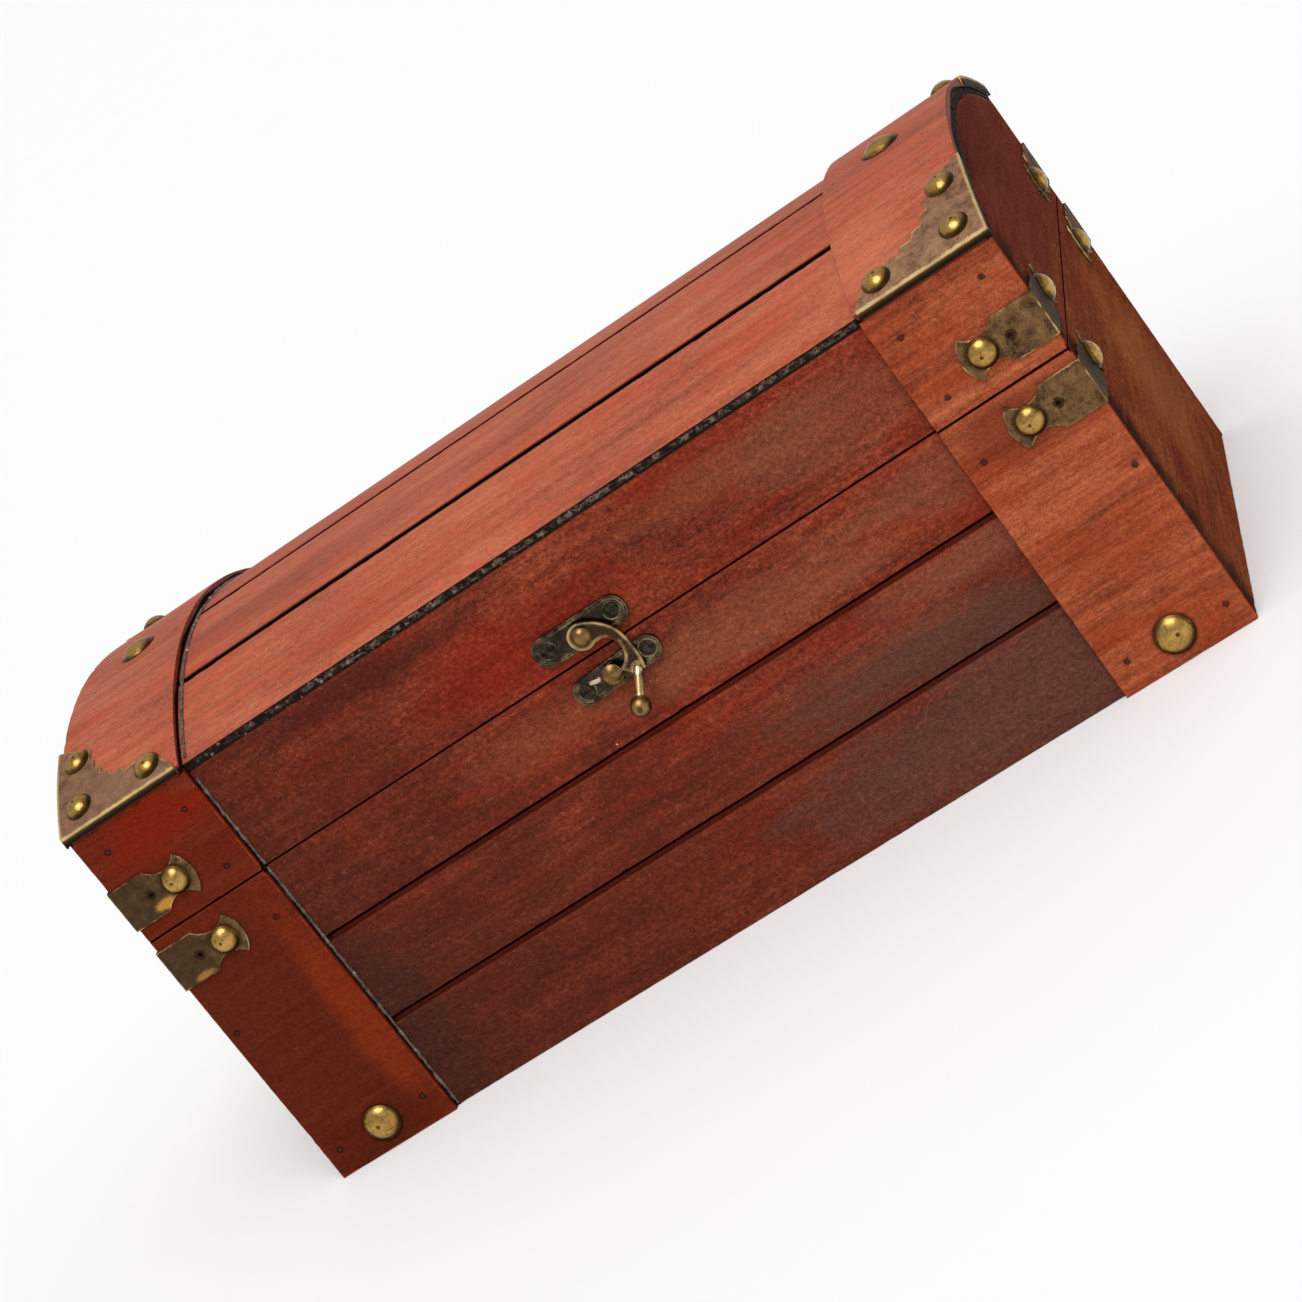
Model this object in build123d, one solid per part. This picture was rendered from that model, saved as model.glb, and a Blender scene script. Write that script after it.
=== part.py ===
from build123d import *
from math import asin, cos, radians, sin
import os

# A small wooden storage box with an arched lid, battens at its corners, brass straps,
# dome nails and a swing latch. Millimetres. +Z is up, the front looks along -Y, and the
# origin is the middle of the underside.

# Overall sizes, over the battens
box_width = 240.0
box_depth = 122.0
body_height = 70.3
lid_corner_height = 30.2
arch_rise = 14.5

# Boards
wall_thickness = 7.0
end_thickness = 7.0
floor_thickness = 5.0
skin_thickness = 2.0
batten_thickness = 2.0
batten_width = 32.0
lower_plank_height = 24.0
middle_plank_height = 22.2
wall_groove = 1.6
skin_groove = 1.4
lap_length = 3.0
arris = 0.4
glue_line = 0.05
skin_groove_shares = (-0.54, 0.0, 0.54)

# Dome nails, brads and the clearance round every shank
nail_head_radius = 3.4
nail_head_height = 2.0
nail_shank_radius = 0.7
nail_length = 6.0
short_nail_length = 3.2
foot_nail_head_radius = 4.4
foot_nail_head_height = 2.0
foot_nail_shank_radius = 1.0
foot_nail_length = 7.6
foot_nail_inset = 16.0
foot_nail_height = 6.7
crown_nail_inset = 17.0
crown_nail_forward = 3.5
brad_radius = 0.65
brad_length = 7.0
short_brad_length = 3.2
shank_clearance = 0.05
hole_end_clearance = 0.3
body_brad_shares = ((0.14, 0.10), (0.88, 0.09), (0.92, 0.60), (0.14, 0.85))
lid_brad_shares = ((0.81, 0.735), (0.17, 0.69), (0.19, 0.17))
top_brad_shares = ((0.09, -0.12), (0.80, -0.22), (0.10, 0.45), (0.86, 0.52))

# Straps round the upright corners
plate_thickness = 0.6
strap_half_height = 5.5
strap_front_leg = 14.7
strap_end_leg = 17.0
strap_shoulder = 5.3
strap_neck_offset = 1.3
strap_neck_half_height = 3.25
strap_fin_reach = 2.9
strap_fin_half_height = 5.45
strap_tail_reach = 5.1
strap_spare_hole_radius = 0.5
strap_spare_hole_offset = 6.7
lid_strap_rise = 9.1
body_strap_drop = 8.2

# Brackets over the lid's corners
bracket_front_leg = 31.0
bracket_arch_leg = 28.0
bracket_lip = 1.8
bracket_front_waist = (25.5, 7.0)
bracket_arch_waist = (8.5, 22.0)
bracket_hollow = 5.0
bracket_tooth = 1.2
bracket_teeth = 6
bracket_corner_nail = (5.5, 5.5)
bracket_front_nail = (24.5, 4.5)
bracket_arch_nail = (5.2, 20.6)

# Swing latch: its plate and arm on the lid, its keeper on the body
latch_pivot_x = 1.6
latch_pivot_rise = 5.0
latch_plate_half_length = 8.25
latch_plate_radius = 3.5
latch_plate_rise = 5.9
latch_plate_base = 0.8
latch_rim_height = 1.2
latch_rim_width = 0.8
latch_boss_radius = 2.2
keeper_half_length = 8.15
keeper_radius = 3.1
keeper_drop = 5.65
keeper_x = 3.05
keeper_tilt = 3.2
keeper_post_x = 2.1
keeper_post_drop = 5.5
keeper_neck_radius = 1.0
keeper_collar_radius = 1.7
keeper_collar_height = 0.5
keeper_head_radius = 2.5
keeper_head_height = 1.2
keeper_rib_length = 2.8
keeper_rib_width = 1.0
keeper_rib_height = 0.8
keeper_rib_offset = 4.3
keeper_rib_rise = 0.4
keeper_rib_tilt = 17.0
arm_thickness = 0.8
arm_gap = 0.4
arm_pivot_radius = 3.1
arm_reach = 7.8
arm_drop = 13.0
arm_outer_shares = ((0.67, 0.023), (1.0, -0.577), (1.01, -0.79), (0.935, -1.0))
arm_tip_shares = ((0.58, -0.985), (0.35, -0.83), (0.37, -0.79))
arm_inner_shares = ((0.72, -0.57), (0.60, -0.26), (0.37, -0.20), (0.115, -0.227))
rod_radius = 1.1
rod_root_reach = 5.9
rod_root_drop = 12.4
knob_radius = 2.4
knob_reach = 2.7
knob_drop = 18.3
knob_clearance = 0.6
rivet_shank_radius = 1.2
rivet_head_radius = 2.15
rivet_head_height = 1.2
rivet_length = 5.0
rivet_gap = 0.1

# Screws of the latch and the hinges
screw_head_radius = 1.8
screw_head_height = 0.9
screw_shank_radius = 0.9
screw_length = 5.0
screw_slot_width = 0.5
screw_slot_depth = 0.35

# Butt hinges on the back
hinge_inset = 30.0
hinge_width = 24.0
hinge_height = 14.0
hinge_leaf_thickness = 0.8
hinge_corner_radius = 2.0
hinge_barrel_radius = 1.9
hinge_pin_radius = 0.9
hinge_pin_head_radius = 1.5
hinge_pin_head_height = 0.9
hinge_knuckle_gap = 0.2
hinge_clearance = 0.3
hinge_screw_spacing = 14.0
hinge_screw_drop = 8.6
running_clearance = 0.05

overrun = 2.0

# Places that follow from the sizes
half_width = box_width / 2
face_y = box_depth / 2
plank_face = face_y - batten_thickness
inner_y = plank_face - wall_thickness
inner_x = half_width - end_thickness
batten_edge = half_width - batten_width
seam_z = body_height
corner_z = seam_z + lid_corner_height
arch_radius = (face_y**2 + arch_rise**2) / (2 * arch_rise)
arch_centre_z = corner_z + arch_rise - arch_radius
skin_radius = arch_radius - batten_thickness
vault_radius = skin_radius - skin_thickness
bracket_radius = arch_radius + glue_line + plate_thickness
arch_end = asin(face_y / arch_radius)
past_end = 2 * arch_end
skin_end = asin(plank_face / skin_radius)
middle_plank_base = lower_plank_height + wall_groove
upper_plank_base = middle_plank_base + middle_plank_height + wall_groove
arm_base = latch_rim_height + arm_gap
arm_top = arm_base + arm_thickness
keeper_head_seat = arm_top + arm_gap
knob_stand = keeper_head_seat + keeper_head_height + knob_clearance + knob_radius
hinge_axis_y = plank_face + hinge_barrel_radius + hinge_clearance
knuckle_width = (hinge_width - 2 * hinge_knuckle_gap) / 3
hinge_spacing = 2 * (batten_edge - hinge_inset)
hinge_places = {"left": -hinge_spacing / 2, "right": hinge_spacing / 2}

front = Vector(0, -1, 0)
back = Vector(0, 1, 0)
left = Vector(-1, 0, 0)
right = Vector(1, 0, 0)
up = Vector(0, 0, 1)


def block(one_corner, other_corner):
    """A board between two opposite corners."""
    a, b = Vector(one_corner), Vector(other_corner)
    middle = (a + b) / 2
    return Pos(middle.X, middle.Y, middle.Z) * Box(abs(a.X - b.X), abs(a.Y - b.Y), abs(a.Z - b.Z))


def eased(board, direction):
    """The board with the arrises of its outer face planed off."""
    outer_face = max(board.faces(), key=lambda face: face.center().dot(direction))
    return chamfer(outer_face.edges(), arris)


def seat(x, y, z, outward):
    """The plane at a point of an upright face, its own Y pointing up and its Z outward."""
    return Plane(origin=(x, y, z), x_dir=up.cross(outward), z_dir=outward)


def arch_point(x, radius, angle):
    """A point of the arch at a radius and an angle from upright, negative to the front."""
    return Vector(x, radius * sin(angle), arch_centre_z + radius * cos(angle))


def arch_seat(x, radius, angle):
    """The plane that touches the arch there."""
    return Plane(origin=arch_point(x, radius, angle), z_dir=(0, sin(angle), cos(angle)))


def under_arch(radius):
    """All that lies under an arch of this radius."""
    return Pos(0, 0, arch_centre_z) * Rot(0, 90, 0) * Cylinder(radius, box_width + 2 * overrun)


def arch_arc(x, radius, first, last):
    """The arc of the arch at a radius, between two angles."""
    return ThreePointArc(*(arch_point(x, radius, angle) for angle in (first, (first + last) / 2, last)))


def arch_strip(inner, outer, first, last, x_from, x_to):
    """A strip of arch between two radii, two angles and two places along the width."""
    outer_arc = arch_arc(x_from, outer, first, last)
    inner_arc = arch_arc(x_from, inner, last, first)
    sides = [Line(outer_arc @ 1, inner_arc @ 0), Line(inner_arc @ 1, outer_arc @ 0)]
    return extrude(make_face([outer_arc, inner_arc] + sides), x_to - x_from, dir=right)


def between_faces(half_depth, half_length):
    """All that lies between upright planes in front and behind, and at both ends."""
    height = corner_z + arch_rise + overrun
    return block((-half_length, -half_depth, 0), (half_length, half_depth, height))


def both_ways(shape, plane):
    """The shape and its mirror image."""
    return [shape, mirror(shape, about=plane)]


# Boards of the body


def wall_plank(side, base, top, has_tongue, has_rebate):
    """A plank of the front (-1) or back (1) wall, lapped behind the groove to the next one."""
    outer, lap, inner = side * plank_face, side * (plank_face - wall_thickness / 2), side * inner_y
    plank = eased(block((-inner_x, outer, base), (inner_x, inner, top)), side * back)
    if has_tongue:
        plank += block((-inner_x, lap, top), (inner_x, inner, top + wall_groove + lap_length))
    if has_rebate:
        plank -= block((-inner_x, lap, base), (inner_x, inner, base + lap_length))
    return plank


def body_planks():
    """The three planks of each long wall."""
    planks = {}
    for name, side in (("front", -1), ("back", 1)):
        planks[f"{name}_plank_lower"] = wall_plank(side, 0, lower_plank_height, True, False)
        middle_top = middle_plank_base + middle_plank_height
        planks[f"{name}_plank_middle"] = wall_plank(side, middle_plank_base, middle_top, True, True)
        planks[f"{name}_plank_upper"] = wall_plank(side, upper_plank_base, seam_z, False, True)
    return planks


def body_boards():
    """The floor, the two end panels and the four corner battens of the body."""
    boards = {"floor_panel": block((-inner_x, -inner_y, 0), (inner_x, inner_y, floor_thickness))}
    end = block((inner_x, -plank_face, 0), (half_width, plank_face, seam_z))
    for name, panel in zip(("right", "left"), both_ways(eased(end, right), Plane.YZ)):
        boards[f"end_panel_{name}"] = panel
    batten = eased(block((batten_edge, -face_y, 0), (half_width, -plank_face, seam_z)), front)
    for name, piece in four_corners(batten).items():
        boards[f"body_batten_{name}"] = piece
    return boards


def four_corners(piece):
    """A piece of the front right corner, and its three mirror images, by name."""
    pieces = {}
    for depth_name, shape in zip(("front", "back"), both_ways(piece, Plane.XZ)):
        for width_name, copy in zip(("right", "left"), both_ways(shape, Plane.YZ)):
            pieces[f"{depth_name}_{width_name}"] = copy
    return pieces


# Boards of the lid


def lid_walls():
    """The long walls and the arched end panels of the lid, up to the underside of its skin."""
    roof = under_arch(vault_radius - glue_line)
    height = corner_z + arch_rise
    wall = eased(block((-inner_x, -plank_face, seam_z), (inner_x, -inner_y, height)), front) & roof
    end = eased(block((inner_x, -plank_face, seam_z), (half_width, plank_face, height)), right) & roof
    boards = {}
    for name, board in zip(("front", "back"), both_ways(wall, Plane.XZ)):
        boards[f"lid_{name}_plank"] = board
    for name, board in zip(("right", "left"), both_ways(end, Plane.YZ)):
        boards[f"lid_end_panel_{name}"] = board
    return boards


def skin_planks():
    """The four curved planks of the lid's top, lapped under the grooves between them."""
    middle_radius = (skin_radius + vault_radius) / 2
    half_groove = skin_groove / 2 / skin_radius
    lap = lap_length / skin_radius
    grooves = [share * skin_end for share in skin_groove_shares]
    starts = [-arch_end - lap] + [groove + half_groove for groove in grooves]
    ends = [groove - half_groove for groove in grooves] + [arch_end + lap]
    trim = between_faces(plank_face, half_width)
    planks = {}
    names = ("front", "front_crown", "back_crown", "back")
    for number, name in enumerate(names):
        start, end = starts[number], ends[number]
        upper = arch_strip(middle_radius, skin_radius, start, end, -half_width, half_width)
        lower_start = start + lap if number else start
        lower_end = end + 2 * half_groove + lap if number < len(grooves) else end
        lower = arch_strip(vault_radius, middle_radius, lower_start, lower_end, -half_width, half_width)
        planks[f"lid_top_plank_{name}"] = (upper + lower) & trim
    return planks


def lid_battens():
    """The upright battens at the lid's corners and the curved ones over its ends."""
    height = corner_z + arch_rise
    upright = eased(block((batten_edge, -face_y, seam_z), (half_width, -plank_face, height)), front)
    boards = {}
    for name, piece in four_corners(upright & under_arch(skin_radius - glue_line)).items():
        boards[f"lid_batten_{name}"] = piece
    over = arch_strip(skin_radius + glue_line, arch_radius, -past_end, past_end, batten_edge, half_width)
    over &= between_faces(face_y, half_width)
    for name, piece in zip(("right", "left"), both_ways(over, Plane.YZ)):
        boards[f"lid_top_batten_{name}"] = piece
    return boards


# Nails and brads, modelled with the head's seat at z = 0 and the shank down -Z


def dome_nail(head_radius, head_height, shank_radius, length):
    """A nail with a domed head."""
    crown = TangentArc((0, head_height), (head_radius, 0), tangent=(1, 0))
    shank = [(shank_radius, 0), (shank_radius, -length), (0, -length)]
    outline = Polyline((head_radius, 0), *shank, (0, head_height))
    return revolve(Plane.XZ * make_face([crown, outline]), Axis.Z)


def shank_hole(shank_radius, length):
    """The hole for a shank, with its clearance, open above the seat."""
    depth = length + hole_end_clearance
    hole = Cylinder(shank_radius + shank_clearance, depth + overrun)
    return Pos(0, 0, (overrun - depth) / 2) * hole


def strap_nail_seats(height):
    """Where the nails of the four straps at one height sit, on top of the straps."""
    seats = []
    for side_x in (-1, 1):
        for side_y in (-1, 1):
            along = side_x * (half_width - strap_front_leg)
            across = side_y * (face_y - strap_end_leg)
            seats.append(seat(along, side_y * (face_y + plate_thickness), height, side_y * back))
            seats.append(seat(side_x * (half_width + plate_thickness), across, height, side_x * right))
    return seats


def bracket_nail_seats():
    """Where the three nails of each lid bracket sit, on top of the bracket."""
    seats = []
    for side_x in (-1, 1):
        for side_y in (-1, 1):
            for inset, run in (bracket_corner_nail, bracket_front_nail, bracket_arch_nail):
                angle = side_y * (arch_end - run / arch_radius)
                seats.append(arch_seat(side_x * (half_width - inset), bracket_radius, angle))
    return seats


def crown_nail_seats():
    """The nail in the middle of each curved batten."""
    angle = -asin(crown_nail_forward / arch_radius)
    return [arch_seat(side * (half_width - crown_nail_inset), arch_radius, angle) for side in (-1, 1)]


def foot_nail_seats():
    """The large nails near the foot of each body batten."""
    seats = []
    for side_x in (-1, 1):
        for side_y in (-1, 1):
            along = side_x * (half_width - foot_nail_inset)
            seats.append(seat(along, side_y * face_y, foot_nail_height, side_y * back))
    return seats


def batten_brad_seats(shares, base, height):
    """The brads of the four upright battens between a height and the next joint."""
    seats = []
    for across_share, up_share in shares:
        along = batten_edge + across_share * batten_width
        for side_x in (-1, 1):
            for side_y in (-1, 1):
                seats.append(seat(side_x * along, side_y * face_y, base + up_share * height, side_y * back))
    return seats


def top_brad_seats():
    """The brads of the two curved battens."""
    seats = []
    for across_share, arch_share in top_brad_shares:
        along = batten_edge + across_share * batten_width
        seats += [arch_seat(side * along, arch_radius, arch_share * arch_end) for side in (-1, 1)]
    return seats


def brad(length):
    """A headless pin, its end flush with the wood."""
    return Pos(0, 0, -length / 2) * Cylinder(brad_radius, length)


# Brass straps and brackets


def strap_outline(leg):
    """One leg of a strap, flat, from the corner at x = 0: a plate, two fins and a round tail."""
    shoulder = (leg - strap_shoulder, strap_half_height)
    neck = (leg - strap_neck_offset, strap_neck_half_height)
    fin = (leg + strap_fin_reach, strap_fin_half_height)
    low_shoulder, low_neck, low_fin = ((x, -y) for x, y in (shoulder, neck, fin))
    edges = [
        Line((0, strap_half_height), shoulder),
        ThreePointArc(shoulder, neck, fin),
        ThreePointArc(fin, (leg + strap_tail_reach, 0), low_fin),
        ThreePointArc(low_fin, low_neck, low_shoulder),
        Line(low_shoulder, (0, -strap_half_height)),
        Line((0, -strap_half_height), (0, strap_half_height)),
    ]
    holes = [
        Pos(leg, 0) * Circle(nail_shank_radius + shank_clearance),
        Pos(leg - strap_spare_hole_offset, 0) * Circle(strap_spare_hole_radius),
    ]
    return make_face(edges) - holes


def strap(height):
    """A strap bent round the front right corner, with its middle at a height."""
    front_leg = extrude(strap_outline(strap_front_leg), plate_thickness)
    end_leg = extrude(strap_outline(strap_end_leg), plate_thickness)
    on_front = Plane(origin=(half_width, -face_y, height), x_dir=left, z_dir=front)
    on_end = Plane(origin=(half_width, -face_y, height), x_dir=back, z_dir=right)
    bend = Cylinder(plate_thickness, 2 * strap_half_height)
    quarter = Box(plate_thickness, plate_thickness, 2 * strap_half_height)
    bend &= Pos(plate_thickness / 2, -plate_thickness / 2) * quarter
    return on_front * front_leg + on_end * end_leg + Pos(half_width, -face_y, height) * bend


def bracket_plan_point(inset, run):
    """A point of a bracket in plan, from its distance to the end and its run up the arch."""
    return (half_width - inset, -arch_radius * sin(arch_end - run / arch_radius))


def bracket_edge():
    """The hollow zigzag edge of a bracket, as insets and runs up the arch."""
    (inset_a, run_a), (inset_b, run_b) = bracket_front_waist, bracket_arch_waist
    chord = Vector(inset_b - inset_a, run_b - run_a)
    inward = Vector(-chord.Y, chord.X).normalized()
    points = []
    for step in range(2 * bracket_teeth + 1):
        share = step / (2 * bracket_teeth)
        sag = bracket_hollow * 4 * share * (1 - share)
        tooth = bracket_tooth / 2 if step % 2 else -bracket_tooth / 2
        point = Vector(inset_a, run_a) + chord * share + inward * (sag + tooth)
        points.append((point.X, point.Y))
    return points


def bracket_bend():
    """The bracket's metal before its edge is cut: over the arch and down the front."""
    low = bracket_radius - plate_thickness
    front_y = face_y + plate_thickness
    lip_base = corner_z - bracket_lip
    x = half_width - bracket_front_leg
    outer = arch_arc(x, bracket_radius, 0, -asin(front_y / bracket_radius))
    inner = arch_arc(x, low, -asin(face_y / low), 0)
    lip = Polyline(outer @ 1, (x, -front_y, lip_base), (x, -face_y, lip_base), inner @ 0)
    return extrude(make_face([outer, lip, inner, Line(inner @ 1, outer @ 0)]), bracket_front_leg, dir=right)


def bracket_end_lip():
    """The bracket's lip down the end of the lid, along the arch."""
    last = bracket_arch_leg / arch_radius - arch_end
    far_x = half_width + plate_thickness
    strip = arch_strip(arch_radius - bracket_lip, bracket_radius, -past_end, last, half_width, far_x)
    return strip & between_faces(face_y + plate_thickness, far_x)


def bracket():
    """The bracket over the front right corner."""
    front_edge = -face_y - overrun
    plan = [(half_width, front_edge), (half_width - bracket_front_leg, front_edge)]
    outline = [(bracket_front_leg, 0)] + bracket_edge() + [(0, bracket_arch_leg)]
    plan += [bracket_plan_point(*point) for point in outline]
    column = extrude(make_face(Polyline(*plan, close=True)), corner_z + arch_rise, dir=up)
    piece = (bracket_bend() & column) + bracket_end_lip()
    for inset, run in (bracket_corner_nail, bracket_front_nail, bracket_arch_nail):
        place = arch_seat(half_width - inset, bracket_radius, run / arch_radius - arch_end)
        piece -= place * shank_hole(nail_shank_radius, short_nail_length)
    return piece


# Screws, latch and hinges


def screw():
    """A countersunk screw with a slot, the top of its head at z = 0."""
    head = [(0, 0), (screw_head_radius, 0), (screw_shank_radius, -screw_head_height)]
    outline = Polyline(*head, (screw_shank_radius, -screw_length), (0, -screw_length), close=True)
    slot = Box(2 * screw_head_radius, screw_slot_width, 2 * screw_slot_depth)
    return revolve(Plane.XZ * make_face(outline), Axis.Z) - slot


def screw_hole():
    """The countersunk hole for a screw, open above its head."""
    head = screw_head_radius + shank_clearance
    shank = screw_shank_radius + shank_clearance
    depth = screw_length + hole_end_clearance
    countersink = [(0, overrun), (head, overrun), (head, 0)]
    outline = Polyline(*countersink, (shank, -screw_head_height), (shank, -depth), (0, -depth), close=True)
    return revolve(Plane.XZ * make_face(outline), Axis.Z)


def latch_point(x, height, proud):
    """A point in front of the planks, at a distance from their face."""
    return Vector(x, -plank_face - proud, height)


def latch_seat(x, height, proud):
    """The plane parallel to the planks at such a point."""
    return seat(*latch_point(x, height, proud), front)


def dished_plate(half_length, radius):
    """A long plate with round ends and a raised rim, its back at z = 0."""
    plate = extrude(SlotCenterToCenter(2 * half_length, 2 * radius), latch_rim_height)
    inside = extrude(SlotCenterToCenter(2 * half_length, 2 * (radius - latch_rim_width)), latch_rim_height)
    return plate - Pos(0, 0, latch_plate_base) * inside


def latch_pivot(proud):
    """The plane square to the latch's pivot, at a distance from the planks."""
    return latch_seat(latch_pivot_x, seam_z + latch_pivot_rise, proud)


def latch_plate_screw_seats():
    """The screws at the two ends of the latch plate."""
    ends = [latch_pivot_x + side * latch_plate_half_length for side in (-1, 1)]
    return [latch_seat(x, seam_z + latch_plate_rise, latch_plate_base) for x in ends]


def latch_plate():
    """The plate on the lid that carries the arm on a boss."""
    middle = latch_seat(latch_pivot_x, seam_z + latch_plate_rise, 0)
    plate = middle * dished_plate(latch_plate_half_length, latch_plate_radius)
    boss_height = arm_base - running_clearance
    plate += latch_pivot(boss_height / 2) * Cylinder(latch_boss_radius, boss_height)
    plate -= latch_pivot(0) * Cylinder(rivet_shank_radius + running_clearance, 2 * arm_top)
    for place in latch_plate_screw_seats():
        plate -= place * screw_hole()
    return plate


def on_keeper(along, proud):
    """The plane on the keeper at a distance along its tilted middle line."""
    tilt = radians(keeper_tilt)
    place = latch_seat(keeper_x + along * cos(tilt), seam_z - keeper_drop + along * sin(tilt), proud)
    return place * Rot(0, 0, keeper_tilt)


def keeper_screw_seats():
    """The screws at the two ends of the keeper."""
    return [on_keeper(side * keeper_half_length, latch_plate_base) for side in (-1, 1)]


def keeper_post_seat():
    """The plane square to the keeper's post, on the planks."""
    return latch_seat(keeper_post_x, seam_z - keeper_post_drop, 0)


def keeper_plate():
    """The plate on the body that holds the post, with a rib beside the post."""
    plate = on_keeper(0, 0) * dished_plate(keeper_half_length, keeper_radius)
    rib_height = latch_plate_base + keeper_rib_height
    rib = Pos(0, 0, rib_height / 2) * Box(keeper_rib_length, keeper_rib_width, rib_height)
    post = keeper_post_seat()
    plate += post * Pos(-keeper_rib_offset, keeper_rib_rise, 0) * Rot(0, 0, -keeper_rib_tilt) * rib
    plate -= post * Cylinder(keeper_neck_radius + shank_clearance, 2 * latch_rim_height)
    for place in keeper_screw_seats():
        plate -= place * screw_hole()
    return plate


def keeper_post():
    """The post with a round head that the arm hooks behind, its foot in the plank."""
    top = (0, keeper_head_seat + keeper_head_height)
    collar_top = latch_plate_base + keeper_collar_height
    crown = TangentArc(top, (keeper_head_radius, keeper_head_seat), tangent=(1, 0))
    outline = Polyline(
        (keeper_head_radius, keeper_head_seat),
        (keeper_neck_radius, keeper_head_seat),
        (keeper_neck_radius, collar_top),
        (keeper_collar_radius, collar_top),
        (keeper_collar_radius, latch_plate_base),
        (keeper_neck_radius, latch_plate_base),
        (keeper_neck_radius, -rivet_length),
        (0, -rivet_length),
        top,
    )
    post = revolve(Plane.XZ * make_face([crown, outline]), Axis.Z)
    return keeper_post_seat() * post


def arm_points(*places):
    """Points of the arm's outline from their shares of the arm's reach and drop."""
    return [(reach_share * arm_reach, drop_share * arm_drop) for reach_share, drop_share in places]


def arm_outline():
    """The flat of the arm, its pivot at the origin: a round eye and a hooked horn."""
    top = (0, arm_pivot_radius)
    shoulder, heel, outside, foot = arm_points(*arm_outer_shares)
    sole, toe, hook = arm_points(*arm_tip_shares)
    notch, crotch, throat, joint = arm_points(*arm_inner_shares)
    edges = [
        ThreePointArc(top, shoulder, heel),
        ThreePointArc(heel, outside, foot),
        Polyline(foot, sole, toe, hook),
        ThreePointArc(hook, notch, crotch),
        ThreePointArc(crotch, throat, joint),
        Line(joint, top),
    ]
    return make_face(edges) + Circle(arm_pivot_radius) - Circle(rivet_shank_radius + running_clearance)


def latch_arm():
    """The arm, with a rod that leans out from its foot to a round knob."""
    blade = latch_pivot(arm_base) * extrude(arm_outline(), arm_thickness)
    pivot_z = seam_z + latch_pivot_rise
    root = latch_point(latch_pivot_x + rod_root_reach, pivot_z - rod_root_drop, arm_base + rod_radius)
    knob = latch_point(latch_pivot_x + knob_reach, pivot_z - knob_drop, knob_stand)
    rod = Plane(origin=(root + knob) / 2, z_dir=knob - root) * Cylinder(rod_radius, (knob - root).length)
    return blade + rod + Pos(*root) * Sphere(rod_radius) + Pos(*knob) * Sphere(knob_radius)


def latch_rivet():
    """The rivet that the arm turns on."""
    stand = arm_top + rivet_gap
    rivet = dome_nail(rivet_head_radius, rivet_head_height, rivet_shank_radius, rivet_length + stand)
    return latch_pivot(stand) * rivet


def on_hinge_axis(shape):
    """The shape turned so that its axis lies on the hinge's."""
    return Pos(0, hinge_axis_y, seam_z) * Rot(0, 90, 0) * shape


def hinge_leaf(way, knuckles):
    """A hinge leaf on the back, above (1) or below (-1) the pin, with the numbered knuckles."""
    outer_y = plank_face + hinge_leaf_thickness
    first = hinge_barrel_radius + hinge_clearance
    plate_height = hinge_height - first
    plate = extrude(RectangleRounded(hinge_width, plate_height, hinge_corner_radius), hinge_leaf_thickness)
    leaf = seat(0, plank_face, seam_z + way * (first + plate_height / 2), back) * plate
    tab_end = seam_z + way * (first + hinge_corner_radius)
    for number in knuckles:
        x = number * (knuckle_width + hinge_knuckle_gap)
        tab = block((x - knuckle_width / 2, plank_face, seam_z), (x + knuckle_width / 2, outer_y, tab_end))
        leaf += tab + Pos(x, 0, 0) * on_hinge_axis(Cylinder(hinge_barrel_radius, knuckle_width))
    leaf -= on_hinge_axis(Cylinder(hinge_pin_radius + running_clearance, hinge_width + overrun))
    for place in leaf_screw_seats(way, 0):
        leaf -= place * screw_hole()
    return leaf


def leaf_screw_seats(way, x):
    """The screws of the upper (1) or lower (-1) leaf of a hinge at x."""
    height = seam_z + way * hinge_screw_drop
    face = plank_face + hinge_leaf_thickness
    return [seat(x + side * hinge_screw_spacing / 2, face, height, back) for side in (-1, 1)]


def hinge_screw_seats(way):
    """The screws of both hinges' upper (1) or lower (-1) leaves."""
    return [place for x in hinge_places.values() for place in leaf_screw_seats(way, x)]


def hinge_pin():
    """A hinge pin with a round head at each end."""
    pin = Cylinder(hinge_pin_radius, hinge_width)
    head = dome_nail(hinge_pin_head_radius, hinge_pin_head_height, hinge_pin_radius, hinge_width / 2)
    pin += Pos(0, 0, hinge_width / 2) * head + Pos(0, 0, -hinge_width / 2) * Rot(180, 0, 0) * head
    return on_hinge_axis(pin)


# Putting the pieces together


def drilled(boards, holes):
    """The named boards, each with every hole that reaches it."""
    nodes = {}
    for name, board in boards.items():
        box = board.bounding_box()
        for hole in holes:
            other = hole.bounding_box()
            sides = zip((*box.min, *other.min), (*other.max, *box.max))
            if all(low <= high for low, high in sides):
                board -= hole
        nodes[name] = board
    return nodes


def at_seats(seats, shape):
    """A copy of the shape on each seat."""
    return [place * shape for place in seats]


def shank_holes(seats, shank_radius, length):
    """A hole for a shank at each seat."""
    return at_seats(seats, shank_hole(shank_radius, length))


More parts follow.
